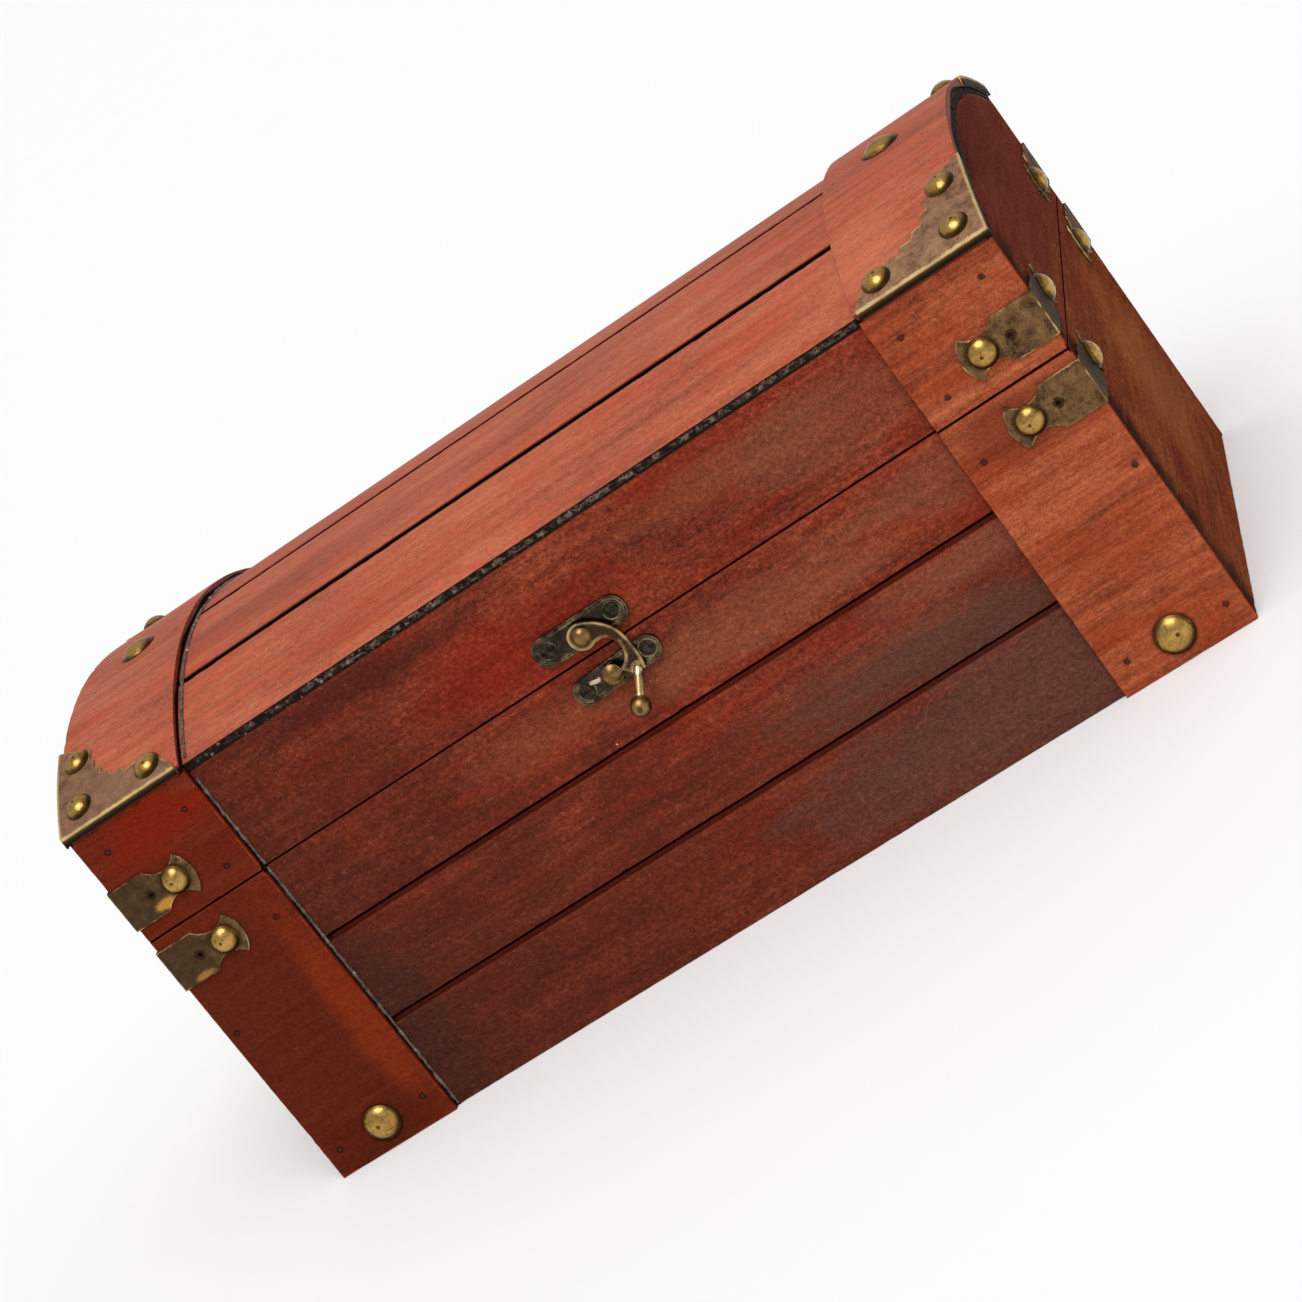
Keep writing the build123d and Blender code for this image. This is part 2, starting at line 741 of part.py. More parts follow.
def body_nodes():
    """The body: its boards, its straps, and the nails and pins that hold them."""
    nail_seats = strap_nail_seats(seam_z - body_strap_drop)
    brad_seats = batten_brad_seats(body_brad_shares, 0, body_height)
    holes = shank_holes(nail_seats, nail_shank_radius, nail_length)
    holes += shank_holes(foot_nail_seats(), foot_nail_shank_radius, foot_nail_length)
    holes += shank_holes(brad_seats, brad_radius, brad_length)
    holes += shank_holes([keeper_post_seat()], keeper_neck_radius, rivet_length)
    holes += at_seats(keeper_screw_seats() + hinge_screw_seats(-1), screw_hole())
    nodes = drilled(body_planks() | body_boards(), holes)
    for name, piece in four_corners(strap(seam_z - body_strap_drop)).items():
        nodes[f"body_strap_{name}"] = piece
    nail = dome_nail(nail_head_radius, nail_head_height, nail_shank_radius, nail_length)
    foot_head = (foot_nail_head_radius, foot_nail_head_height)
    foot_nail = dome_nail(*foot_head, foot_nail_shank_radius, foot_nail_length)
    nodes["body_strap_nails"] = Compound(at_seats(nail_seats, nail))
    nodes["foot_nails"] = Compound(at_seats(foot_nail_seats(), foot_nail))
    nodes["body_brads"] = Compound(at_seats(brad_seats, brad(brad_length)))
    return nodes


def lid_nodes():
    """The lid: its boards, its straps and brackets, and the nails and pins that hold them."""
    nail_seats = strap_nail_seats(seam_z + lid_strap_rise)
    short_nail_seats = bracket_nail_seats() + crown_nail_seats()
    brad_seats = batten_brad_seats(lid_brad_shares, seam_z, lid_corner_height)
    holes = shank_holes(nail_seats, nail_shank_radius, nail_length)
    holes += shank_holes(short_nail_seats, nail_shank_radius, short_nail_length)
    holes += shank_holes(brad_seats, brad_radius, brad_length)
    holes += shank_holes(top_brad_seats(), brad_radius, short_brad_length)
    holes += shank_holes([latch_pivot(0)], rivet_shank_radius, rivet_length)
    holes += at_seats(latch_plate_screw_seats() + hinge_screw_seats(1), screw_hole())
    nodes = drilled(lid_walls() | skin_planks() | lid_battens(), holes)
    for name, piece in four_corners(strap(seam_z + lid_strap_rise)).items():
        nodes[f"lid_strap_{name}"] = piece
    for name, piece in four_corners(bracket()).items():
        nodes[f"lid_bracket_{name}"] = piece
    nail = dome_nail(nail_head_radius, nail_head_height, nail_shank_radius, nail_length)
    short_nail = dome_nail(nail_head_radius, nail_head_height, nail_shank_radius, short_nail_length)
    crown_nail = dome_nail(foot_nail_head_radius, foot_nail_head_height, nail_shank_radius, short_nail_length)
    nails = at_seats(nail_seats, nail) + at_seats(bracket_nail_seats(), short_nail)
    nodes["lid_dome_nails"] = Compound(nails + at_seats(crown_nail_seats(), crown_nail))
    short_brads = at_seats(top_brad_seats(), brad(short_brad_length))
    nodes["lid_brads"] = Compound(at_seats(brad_seats, brad(brad_length)) + short_brads)
    return nodes


def latch_nodes():
    """The swing latch on the lid and its keeper on the body."""
    return {
        "latch_plate": latch_plate(),
        "latch_plate_screws": Compound(at_seats(latch_plate_screw_seats(), screw())),
        "latch_rivet": latch_rivet(),
        "latch_arm": latch_arm(),
        "keeper_plate": keeper_plate(),
        "keeper_screws": Compound(at_seats(keeper_screw_seats(), screw())),
        "keeper_post": keeper_post(),
    }


def hinge_nodes():
    """The two butt hinges with their pins and screws."""
    nodes = {}
    for name, x in hinge_places.items():
        nodes[f"hinge_body_leaf_{name}"] = Pos(x, 0, 0) * hinge_leaf(-1, (-1, 1))
        nodes[f"hinge_lid_leaf_{name}"] = Pos(x, 0, 0) * hinge_leaf(1, (0,))
    nodes["hinge_pins"] = Compound([Pos(x, 0, 0) * hinge_pin() for x in hinge_places.values()])
    nodes["hinge_body_screws"] = Compound(at_seats(hinge_screw_seats(-1), screw()))
    nodes["hinge_lid_screws"] = Compound(at_seats(hinge_screw_seats(1), screw()))
    return nodes


os.makedirs("parts", exist_ok=True)
for node_name, shape in (body_nodes() | lid_nodes() | latch_nodes() | hinge_nodes()).items():
    export_step(shape, f"parts/{node_name}.step")
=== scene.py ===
"""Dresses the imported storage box: stained boards, aged brass, its swing latch and a pale studio."""

import sys

import logging
import math
from dataclasses import dataclass
from enum import Enum
from functools import cache, reduce
from itertools import product
from typing import Callable, Iterable, Sequence, Union

import bmesh
import bpy
from mathutils import Matrix, Vector, kdtree, noise


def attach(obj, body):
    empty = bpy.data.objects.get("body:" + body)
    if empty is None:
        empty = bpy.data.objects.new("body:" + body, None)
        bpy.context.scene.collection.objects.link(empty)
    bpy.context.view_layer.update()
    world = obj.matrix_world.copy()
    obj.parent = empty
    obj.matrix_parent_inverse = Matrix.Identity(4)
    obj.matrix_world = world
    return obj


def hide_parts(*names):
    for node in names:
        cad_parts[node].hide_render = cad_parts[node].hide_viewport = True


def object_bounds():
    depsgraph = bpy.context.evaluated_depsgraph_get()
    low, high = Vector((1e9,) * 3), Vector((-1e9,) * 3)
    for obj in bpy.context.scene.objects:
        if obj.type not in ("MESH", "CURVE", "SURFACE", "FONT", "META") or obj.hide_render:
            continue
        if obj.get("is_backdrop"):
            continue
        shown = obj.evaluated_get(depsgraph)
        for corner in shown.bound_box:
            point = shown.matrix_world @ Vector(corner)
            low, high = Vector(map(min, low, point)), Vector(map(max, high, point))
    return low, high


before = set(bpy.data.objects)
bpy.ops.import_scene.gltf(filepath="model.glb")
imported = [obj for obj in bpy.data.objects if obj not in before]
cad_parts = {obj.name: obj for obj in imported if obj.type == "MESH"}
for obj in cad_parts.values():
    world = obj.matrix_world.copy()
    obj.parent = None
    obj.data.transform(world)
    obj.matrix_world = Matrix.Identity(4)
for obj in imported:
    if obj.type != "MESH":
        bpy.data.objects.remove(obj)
cad_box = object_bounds()

log = logging.getLogger("storage_box")

Colour = tuple[float, float, float, float]
Point = tuple[float, float, float]
Outline = list[tuple[float, float]]
Number = Union["Sock", float]
Test = Callable[[Vector], bool]
Measure = Callable[[Vector], float]
Way = Callable[[Vector], Vector]

# Sizes that finishes and pieces share, in millimetres

FACE = 61.0
BATTEN_EDGE = 88.0
BATTEN_WIDTH = 32.0
SEAM = 70.3
LID_SIDE = 30.2
STRAP_HEIGHTS = (62.1, 79.4)
STRAP_NAIL_X = 105.3
STRAP_NAIL_Y = 44.0
SPARE_HOLE_X = 112.0
SPARE_HOLE_Y = 50.7
CROWN_NAIL_X = 103.0
CROWN_NAIL_Y = -3.5
FOOT_NAIL_X = 104.0
FOOT_NAIL_Z = 6.7
PLATE_FACE = 61.6
PLATE_END = 120.6
CLOSE = 0.1

# Ways of counting through the box, and the step that sets boards and nails apart

WALLS = (("front", -1), ("back", 1))
ENDS = (("left", -1), ("right", 1))
CORNERS = tuple((f"{wall}_{end}", x, y) for (wall, y), (end, x) in product(WALLS, ENDS))
BOTH_SIDES = (-1, 1)
GOLDEN = 0.618


def pin_places(shares: Sequence[tuple[float, float]], base: float, height: float) -> Outline:
    """Gives the widths and heights of an upright batten's pins, from shares of its size."""
    return [(BATTEN_EDGE + across * BATTEN_WIDTH, base + up * height) for across, up in shares]


BODY_PINS = pin_places(((0.14, 0.10), (0.88, 0.09), (0.92, 0.60), (0.14, 0.85)), 0.0, SEAM)
LID_PINS = pin_places(((0.81, 0.735), (0.17, 0.69), (0.19, 0.17)), SEAM, LID_SIDE)


def tint(red: int, green: int, blue: int) -> Colour:
    """Turns a colour of a paint card, 0 to 255, into the linear one that shaders take."""
    parts = (value / 255 for value in (red, green, blue))
    return (*(v / 12.92 if v <= 0.04045 else ((v + 0.055) / 1.055) ** 2.4 for v in parts), 1.0)


class Grain(Enum):
    """The direction in which a board's fibres run."""

    ALONG_WIDTH = 0
    ALONG_DEPTH = 1

    def sizes(self, along: float, across: float) -> Point:
        """Gives a pattern's size on each axis from those along and across the fibres."""
        return tuple(along if axis == self.value else across for axis in range(3))


class Face(Enum):
    """The material index of a board's outer and inner faces."""

    OUTER = 0
    INNER = 1


# Shader maths


class Sock:
    """A node's output whose arithmetic adds Math nodes."""

    def __init__(self, graph: "Graph", socket: bpy.types.NodeSocket) -> None:
        """Holds one output socket of a graph."""
        self.graph = graph
        self.socket = socket

    def maths(self, operation: str, *others: Number) -> "Sock":
        """Adds a Math node that starts from this value and takes the others as well."""
        sockets = dict(enumerate((self, *others)))
        return self.graph.add("ShaderNodeMath", {"operation": operation}, sockets)

    def other(self, name: str) -> "Sock":
        """Gives another output of the same node."""
        return Sock(self.graph, self.socket.node.outputs[name])

    def __add__(self, other: Number) -> "Sock":
        """Adds."""
        return self.maths("ADD", other)

    def __sub__(self, other: Number) -> "Sock":
        """Subtracts."""
        return self.maths("SUBTRACT", other)

    def __rsub__(self, other: float) -> "Sock":
        """Subtracts this value from a number."""
        return self.maths("MULTIPLY_ADD", -1.0, other)

    def __mul__(self, other: Number) -> "Sock":
        """Multiplies."""
        return self.maths("MULTIPLY", other)

    __radd__ = __add__
    __rmul__ = __mul__

    def least(self, other: Number) -> "Sock":
        """Gives the smaller of two values."""
        return self.maths("MINIMUM", other)

    def most(self, other: Number) -> "Sock":
        """Gives the larger of two values."""
        return self.maths("MAXIMUM", other)

    def swing(self, amount: float) -> "Sock":
        """Turns noise about 0.5 into a change about 0 of this strength."""
        return (self - 0.5) * amount

    def rise(self, low: float, high: float) -> "Sock":
        """Eases from 0 at one value to 1 at a higher one."""
        sockets = {"Value": self, "From Min": low, "From Max": high}
        return self.graph.add("ShaderNodeMapRange", {"interpolation_type": "SMOOTHSTEP"}, sockets)

    def fall(self, low: float, high: float) -> "Sock":
        """Eases from 1 at one value to 0 at a higher one."""
        return 1.0 - self.rise(low, high)


class Graph:
    """A node tree that is filled one node at a time."""

    def __init__(self, tree: bpy.types.NodeTree) -> None:
        """Empties a tree."""
        self.tree = tree
        tree.nodes.clear()

    def add(
        self, kind: str, settings: dict | None = None, sockets: dict | None = None, output: int | str = 0
    ) -> Sock:
        """Adds any node.

        Args:
            kind: The node's type.
            settings: What is set on the node first, "stops" being a ramp's positions and colours.
            sockets: The values or links of its inputs, by name or number.
            output: The output to give back.

        Returns:
            That output.
        """
        node = self.tree.nodes.new(kind)
        for name, value in (settings or {}).items():
            if name == "stops":
                self.set_stops(node.color_ramp, value)
            else:
                setattr(node, name, value)
        for key, value in (sockets or {}).items():
            if isinstance(value, Sock):
                self.tree.links.new(value.socket, node.inputs[key])
            else:
                node.inputs[key].default_value = value
        return Sock(self, node.outputs[output] if node.outputs else None)

    @staticmethod
    def set_stops(ramp: bpy.types.ColorRamp, stops: Sequence[tuple[float, Colour]]) -> None:
        """Sets the stops of a ramp that starts with two.

        Args:
            ramp: The ramp.
            stops: Positions and colours from left to right.
        """
        for _ in stops[2:]:
            ramp.elements.new(1.0)
        for element, (position, colour) in zip(ramp.elements, stops):
            element.position = position
            element.color = colour

    def place(self) -> Sock:
        """Gives the object's own coordinates, in millimetres."""
        metres = self.add("ShaderNodeTexCoord", output="Object")
        return self.vector("MULTIPLY", metres, (1000.0,) * 3)

    def apart(self, place: Sock) -> Sock:
        """Shifts a place by its board's own number, so that no two boards look alike.

        Args:
            place: The place in millimetres.

        Returns:
            The shifted place.
        """
        board = self.attribute("board")
        parts = {axis: board * shift for axis, shift in enumerate((310.0, 170.0, 90.0))}
        return self.vector("ADD", place, self.add("ShaderNodeCombineXYZ", None, parts))

    def vector(self, operation: str, *parts: "Sock | Point", output: int = 0) -> Sock:
        """Adds a Vector Math node, whose output 0 is a vector and 1 a number."""
        return self.add("ShaderNodeVectorMath", {"operation": operation}, dict(enumerate(parts)), output)

    def attribute(self, name: str) -> Sock:
        """Gives a number that the mesh stores at its vertices."""
        return self.add("ShaderNodeAttribute", {"attribute_name": name}, output="Fac")

    def ramp(self, value: Sock, *stops: tuple[float, Colour]) -> Sock:
        """Colours a value by the stops of a ramp."""
        return self.add("ShaderNodeValToRGB", {"stops": stops}, {0: value})

    def cloud(
        self, at: Sock, sizes: Point, detail: float = 2.0, rough: float = 0.5, swirl: float = 0.0
    ) -> Sock:
        """Adds noise whose lumps have a size on each axis.

        Args:
            at: The place in millimetres.
            sizes: The size of a lump on each axis.
            detail: The number of finer layers.
            rough: The strength of the finer layers.
            swirl: The distortion.

        Returns:
            The noise, 0 to 1 and about 0.5 on average.
        """
        sockets = {"Vector": self.vector("DIVIDE", at, sizes), "Scale": 1.0}
        sockets |= {"Detail": detail, "Roughness": rough, "Distortion": swirl}
        return self.add("ShaderNodeTexNoise", None, sockets)

    def cells(self, at: Sock, size: float, share: float, radius: float) -> Sock:
        """Scatters small round specks.

        Args:
            at: The place in millimetres.
            size: The distance between neighbours.
            share: How many of the places stay empty, 0 to 1.
            radius: The radius of a speck, as a share of the size.

        Returns:
            1 on a speck and 0 elsewhere.
        """
        vector = self.vector("DIVIDE", at, (size,) * 3)
        distance = self.add("ShaderNodeTexVoronoi", None, {"Vector": vector, "Scale": 1.0})
        drawn = self.add("ShaderNodeSeparateColor", None, {0: distance.other("Color")})
        return distance.fall(radius * 0.5, radius) * drawn.rise(share, share + 0.02)

    def nearest(self, at: Sock, places: Sequence[Point]) -> Sock:
        """Measures the distance to the nearest of some places."""
        return reduce(Sock.least, [self.vector("DISTANCE", at, place, output=1) for place in places])

    def blend(self, factor: Number, first: "Sock | Colour", second: "Sock | Colour") -> Sock:
        """Mixes two colours; a factor of 0 gives the first one and 1 the second."""
        return self.add("ShaderNodeMix", {"data_type": "RGBA"}, {0: factor, 6: first, 7: second}, 2)

    def relief(self, height: Sock) -> Sock:
        """Turns a height in millimetres into a normal."""
        return self.add("ShaderNodeBump", None, {"Height": height, "Strength": 1.0, "Distance": 0.001})

    def surface(self, sockets: dict) -> None:
        """Ends the graph with a Principled shader that has these inputs."""
        shader = self.add("ShaderNodeBsdfPrincipled", None, sockets)
        self.add("ShaderNodeOutputMaterial", None, {"Surface": shader})


def new_graph(name: str) -> tuple[bpy.types.Material, Graph]:
    """Starts a material.

    Args:
        name: Its name.

    Returns:
        The material and its empty graph.
    """
    material = bpy.data.materials.new(name)
    material.use_nodes = True
    return material, Graph(material.node_tree)


# Finishes

# GLINT is a painted highlight: glints on the tops of the pebbly skin.
GLINT = tint(172, 108, 80)
PALE_FLECK = tint(214, 170, 150)
PIN_SHADOW = tint(38, 18, 12)
NAIL_SHADOW = tint(34, 14, 9)
# Painted shade in recesses: a red that mixes stain with shade, and a black that also stands for dark end
# grain.
STAIN_AND_SHADE_RED = tint(100, 32, 21)
SHADE_AND_END_GRAIN_BLACK = tint(18, 7, 6)
CRUST_BLACK_AND_SHADOW = tint(26, 17, 14)
CRUST_GLUE = ((0.4, tint(26, 18, 14)), (0.52, tint(66, 52, 43)), (0.66, tint(122, 105, 92)))
CRUST_LUMP = tint(134, 116, 106)
CRUST_LEFT_END = (-120.0, -59.0, 98.0)
PORE = tint(92, 56, 34)
SPILT_STAIN = tint(122, 62, 40)
LIP_BROWN = tint(80, 64, 38)
GLUE_GREYS = ((0.34, tint(38, 28, 24)), (0.5, tint(86, 66, 58)), (0.66, tint(126, 108, 98)))
SAWDUST = tint(190, 182, 174)
BROWN_EDGE = (0.12, 0.09, 0.06, 1.0)
WHITE_EDGE = (1.0, 1.0, 1.0, 1.0)


@dataclass(frozen=True)
class Patch:
    """A soft patch of another tone, at a place in millimetres."""

    centre: Point
    radii: Point
    colour: Colour
    strength: float

    def lay(self, graph: Graph, at: Sock, ragged: Sock, under: Sock) -> Sock:
        """Lays the patch over a colour.

        Args:
            graph: The graph.
            at: The place in millimetres.
            ragged: Noise that breaks up the patch's border.
            under: The colour below.

        Returns:
            The colour with the patch.
        """
        inside = graph.vector("DIVIDE", graph.vector("SUBTRACT", at, self.centre), self.radii)
        distance = graph.vector("LENGTH", inside, output=1) + ragged.swing(1.1)
        return graph.blend(distance.fall(0.35, 1.05) * self.strength, under, self.colour)


def patches(*rows: tuple[float, ...]) -> tuple[Patch, ...]:
    """Reads patches from rows of a centre, three radii, a red, green and blue, and a strength."""
    return tuple(Patch(row[:3], row[3:6], tint(*row[6:9]), row[9]) for row in rows)


@dataclass(frozen=True)
class StainedWood:
    """Stained and lightly lacquered wood with a pebbly skin and worn arrises."""

    name: str
    slot: str
    thin: Colour
    main: Colour
    thick: Colour
    ruddy: Colour
    worn: Colour
    grain: Grain = Grain.ALONG_WIDTH
    streaks: float = 0.5
    fibres: float = 0.3
    blotches: float = 0.8
    mottles: float = 0.5
    pebbles: float = 0.4
    pebble_relief: float = 0.05
    peel: float = 1.0
    # Strength of the painted glints.
    glint: float = 0.0
    wear_width: float = 1.0
    wear: float = 0.8
    roughness: float = 0.5
    gloss: float = 0.12
    patches: tuple[Patch, ...] = ()
    pins: tuple[Point, ...] = ()
    nails: tuple[Point, ...] = ()
    nail_radius: float = 4.4
    mirrored: bool = True
    crust: bool = False

    def lay_crust(self, graph: Graph, place: Sock, at: Sock, under: Sock) -> tuple[Sock, Sock]:
        """Lays the rough glued crust on the cut front and back edges of the top planks.

        Args:
            graph: The graph.
            place: The place in millimetres.
            at: The same place shifted by the board's number.
            under: The colour below.

        Returns:
            The colour with the crust, and the crust's height.
        """
        crust = graph.attribute("crust")
        rough = graph.cloud(at, (1.3, 0.9, 0.9), 3.0, 0.6)
        # The cut edge turns black; its borders, left free of glue, are painted shade lines above and
        # below it.
        colour = graph.blend(crust.rise(0.02, 0.25), under, CRUST_BLACK_AND_SHADOW)
        edge = crust + rough.swing(0.9)
        left = graph.nearest(place, (CRUST_LEFT_END,))
        core = edge.rise(0.3, 0.7) * edge.fall(1.35, 1.8) * left.rise(10.0, 110.0)
        colour = graph.blend(core * 0.9, colour, graph.ramp(rough, *CRUST_GLUE))
        lumps = graph.cells(at, 1.3, 0.0, 0.42) * crust.rise(0.2, 0.5) * rough.rise(0.44, 0.6)
        colour = graph.blend(lumps * left.fall(70.0, 190.0) * 0.8, colour, CRUST_LUMP)
        return colour, crust.rise(0.02, 0.25) * (rough * 0.5)

    def material(self) -> bpy.types.Material:
        """Makes the material.

        Returns:
            The material.
        """
        material, graph = new_graph(self.name)
        place = graph.place()
        at = graph.apart(place)
        streak = graph.cloud(at, self.grain.sizes(38.0, 1.9), 5.0, 0.62, 0.4)
        fibre = graph.cloud(at, self.grain.sizes(5.0, 0.35), 2.0, 0.6)
        blotch = graph.cloud(at, self.grain.sizes(42.0, 15.0), 3.0, 0.55, 0.3)
        pebble = graph.cloud(at, self.grain.sizes(1.25, 0.85), 2.0, 0.6)
        grit = graph.cloud(at, (0.45, 0.45, 0.45), 1.0, 0.5)
        mottle = graph.cloud(at, self.grain.sizes(4.2, 2.6), 3.0, 0.6)
        tone = (
            0.5 + streak.swing(self.streaks) + fibre.swing(self.fibres) + blotch.swing(self.blotches)
            + mottle.swing(self.mottles) + pebble.swing(self.pebbles) + grit.swing(self.pebbles * 0.7)
        )
        colour = graph.ramp(tone, (0.18, self.thick), (0.5, self.main), (0.82, self.thin))
        redder = graph.cloud(at, self.grain.sizes(30.0, 9.0), 3.0, 0.6, 0.6).rise(0.42, 0.7)
        colour = graph.blend(redder * 0.6, colour, self.ruddy)
        ragged = graph.cloud(at, self.grain.sizes(16.0, 5.0), 4.0, 0.65)
        for patch in self.patches:
            colour = patch.lay(graph, place, ragged, colour)
        stained = graph.cloud(at, self.grain.sizes(2.2, 1.5), 3.0, 0.65).rise(0.56, 0.72)
        colour = graph.blend(stained * 0.35 * self.mottles, colour, self.thick)
        shade = 1.0 + pebble.swing(self.peel) + grit.swing(self.peel) + streak.swing(0.5)
        colour = graph.vector("MULTIPLY", colour, shade)
        # Painted highlight: glints on the tops of the pebbles.
        colour = graph.blend(pebble.rise(0.6, 0.8) * self.glint, colour, GLINT)
        chafed = graph.cloud(at, (5.0, 5.0, 5.0), 4.0, 0.7).rise(0.4, 0.62)
        wear = graph.attribute("rim").fall(self.wear_width * 0.25, self.wear_width) * chafed * self.wear
        colour = graph.blend(wear, colour, self.worn)
        colour = graph.blend(graph.cells(at, 13.0, 0.72, 0.028) * 0.8, colour, PALE_FLECK)
        scratch_at = graph.vector("DIVIDE", at, self.grain.sizes(7.0, 1.0))
        colour = graph.blend(graph.cells(scratch_at, 7.0, 0.9, 0.022) * 0.6, colour, self.worn)
        height = pebble * self.pebble_relief + fibre * (0.02 * self.fibres)
        height = height + grit * (self.pebble_relief * 0.3)
        if self.pins:
            around = graph.nearest(graph.vector("ABSOLUTE", place), self.pins) + grit.swing(0.6)
            colour = graph.blend(around.fall(0.4, 1.0) * 0.85, colour, PIN_SHADOW)
            height = height - around.fall(0.5, 1.1) * 0.25
        if self.nails:
            held = graph.vector("ABSOLUTE", place) if self.mirrored else place
            around = graph.nearest(held, self.nails) + ragged.swing(0.6)
            ring = around.fall(self.nail_radius, self.nail_radius + 0.8)
            colour = graph.blend(ring * 0.7, colour, NAIL_SHADOW)
        # Painted shade by depth: shallow recesses get the red, and the deepest places, such as the laps
        # in the grooves, the seam and the gaps beside the battens, turn black.
        depth = graph.attribute("sunk") + ragged.swing(0.3)
        colour = graph.blend(depth.rise(0.15, 1.2) * 0.85, colour, STAIN_AND_SHADE_RED)
        sunk = depth.rise(2.7, 3.6)
        colour = graph.blend(sunk, colour, SHADE_AND_END_GRAIN_BLACK)
        if self.crust:
            colour, rise = self.lay_crust(graph, place, at, colour)
            height = height + rise
        graph.surface({
            "Base Color": colour,
            "Roughness": self.roughness + pebble.swing(0.2) + sunk * 0.3 - wear * 0.08,
            "Normal": graph.relief(height),
            "Specular IOR Level": self.gloss,
        })
        return material


@dataclass(frozen=True)
class BareWood:
    """Unfinished pale wood with faint rings, for the inside."""

    name: str
    slot: str
    light: Colour = tint(176, 132, 92)
    dark: Colour = tint(138, 94, 60)
    grain: Grain = Grain.ALONG_WIDTH

    def material(self) -> bpy.types.Material:
        """Makes the material.

        Returns:
            The material.
        """
        material, graph = new_graph(self.name)
        at = graph.apart(graph.place())
        ring = graph.cloud(at, self.grain.sizes(90.0, 5.0), 4.0, 0.55, 0.8)
        fibre = graph.cloud(at, self.grain.sizes(7.0, 0.4), 2.0, 0.6)
        pore = graph.cloud(at, self.grain.sizes(3.0, 0.25), 1.0).rise(0.62, 0.72)
        tone = 0.5 + ring.swing(1.3) + fibre.swing(0.6)
        colour = graph.ramp(tone, (0.2, self.dark), (0.8, self.light))
        colour = graph.blend(pore * 0.5, colour, PORE)
        stained = graph.cloud(at, (30.0, 22.0, 22.0), 3.0, 0.6).rise(0.55, 0.75)
        graph.surface({
            "Base Color": graph.blend(stained * 0.3, colour, SPILT_STAIN),
            "Roughness": 0.62 + fibre.swing(0.2),
            "Normal": graph.relief(fibre * 0.05 - pore * 0.05),
        })
        return material


@dataclass(frozen=True)
class AgedMetal:
    """Metal with a mottled dark patina that is rubbed bright along its rims; on the latch's plates the
    bright rims are partly painted highlights, and on the nails the rim colour is painted shade.
    """

    name: str
    slot: str
    dark: Colour
    main: Colour
    light: Colour
    bright: Colour
    mottle: float = 2.5
    rim_width: float = 0.5
    rim_strength: float = 0.9
    rim_cover: float = 1.0
    rim_break: float = 1.6
    rubbed: float = 0.5
    roughness: float = 0.5
    rim_roughness: float = 0.3
    metallic: float = 0.9
    grain_relief: float = 0.02
    pits: float = 0.5
    contrast: float = 1.0
    edge_tint: Colour = WHITE_EDGE
    patches: tuple[Patch, ...] = ()
    nails: tuple[Point, ...] = ()
    lip: Colour | None = None

    def material(self) -> bpy.types.Material:
        """Makes the material.

        Returns:
            The material.
        """
        material, graph = new_graph(self.name)
        at = graph.place()
        lump = graph.cloud(at, (self.mottle,) * 3, 4.0, 0.6, 0.3)
        fine = graph.cloud(at, (0.5, 0.5, 0.5), 3.0, 0.65)
        tone = 0.5 + lump.swing(1.2 * self.contrast) + fine.swing(0.7 * self.contrast)
        colour = graph.ramp(tone, (0.2, self.dark), (0.5, self.main), (0.85, self.light))
        ragged = graph.cloud(at, (1.6, 1.6, 1.6), 4.0, 0.7)
        for patch in self.patches:
            colour = patch.lay(graph, at, ragged, colour)
        pits = graph.cells(at, 1.7, 0.55, 0.16) * self.pits
        colour = graph.blend(pits, colour, self.dark)
        # Painted shadow and dirt: a dark ring round each nail head.
        if self.nails:
            around = graph.nearest(graph.vector("ABSOLUTE", at), self.nails) + ragged.swing(0.7)
            colour = graph.blend(around.fall(3.3, 4.4) * 0.75, colour, self.dark)
        rim = graph.attribute("rim") + ragged.swing(self.rim_width * self.rim_break)
        patchy = graph.cloud(at, (4.5, 4.5, 4.5), 2.0, 0.6)
        patchy = patchy.rise(0.5 - self.rim_cover * 0.3, 0.78 - self.rim_cover * 0.3)
        worn = rim.fall(self.rim_width * 0.35, self.rim_width) * patchy * self.rim_strength
        worn = worn.most(lump.rise(0.6, 0.75) * fine.rise(0.4, 0.6) * self.rubbed)
        colour = graph.blend(worn, colour, self.bright)
        if self.lip:
            fold = graph.attribute("fold") + ragged.swing(0.3)
            colour = graph.blend(fold.fall(0.35, 0.65), colour, LIP_BROWN)
            colour = graph.blend(fold.fall(-0.3, 0.45), colour, self.lip)
            # The bright band along the fold is rubbed wear with a painted highlight.
            band = (fold - 0.9).maths("ABSOLUTE").fall(0.1, 0.42)
            colour = graph.blend(band * (0.6 + patchy * 0.35), colour, self.bright)
        # Painted shade on the dome heads, darker towards their edge and their lower side.
        dome_shade = graph.attribute("dome_shade") + lump.swing(0.3)
        colour = graph.blend(dome_shade.rise(0.12, 0.8) * 0.9, colour, self.dark)
        # Darker where sunk: patina in the arm's dish and the nail pits, and painted shade in the spare
        # holes.
        colour = graph.blend(graph.attribute("sunk").rise(0.05, 0.22) * 0.85, colour, self.dark)
        smoother = worn * (self.roughness - self.rim_roughness)
        height = fine * self.grain_relief + lump * (2.0 * self.grain_relief) - pits * 0.05
        graph.surface({
            "Base Color": colour,
            "Metallic": self.metallic,
            "Roughness": self.roughness + fine.swing(0.25) - smoother,
            "Normal": graph.relief(height),
            "Specular Tint": self.edge_tint,
        })
        return material


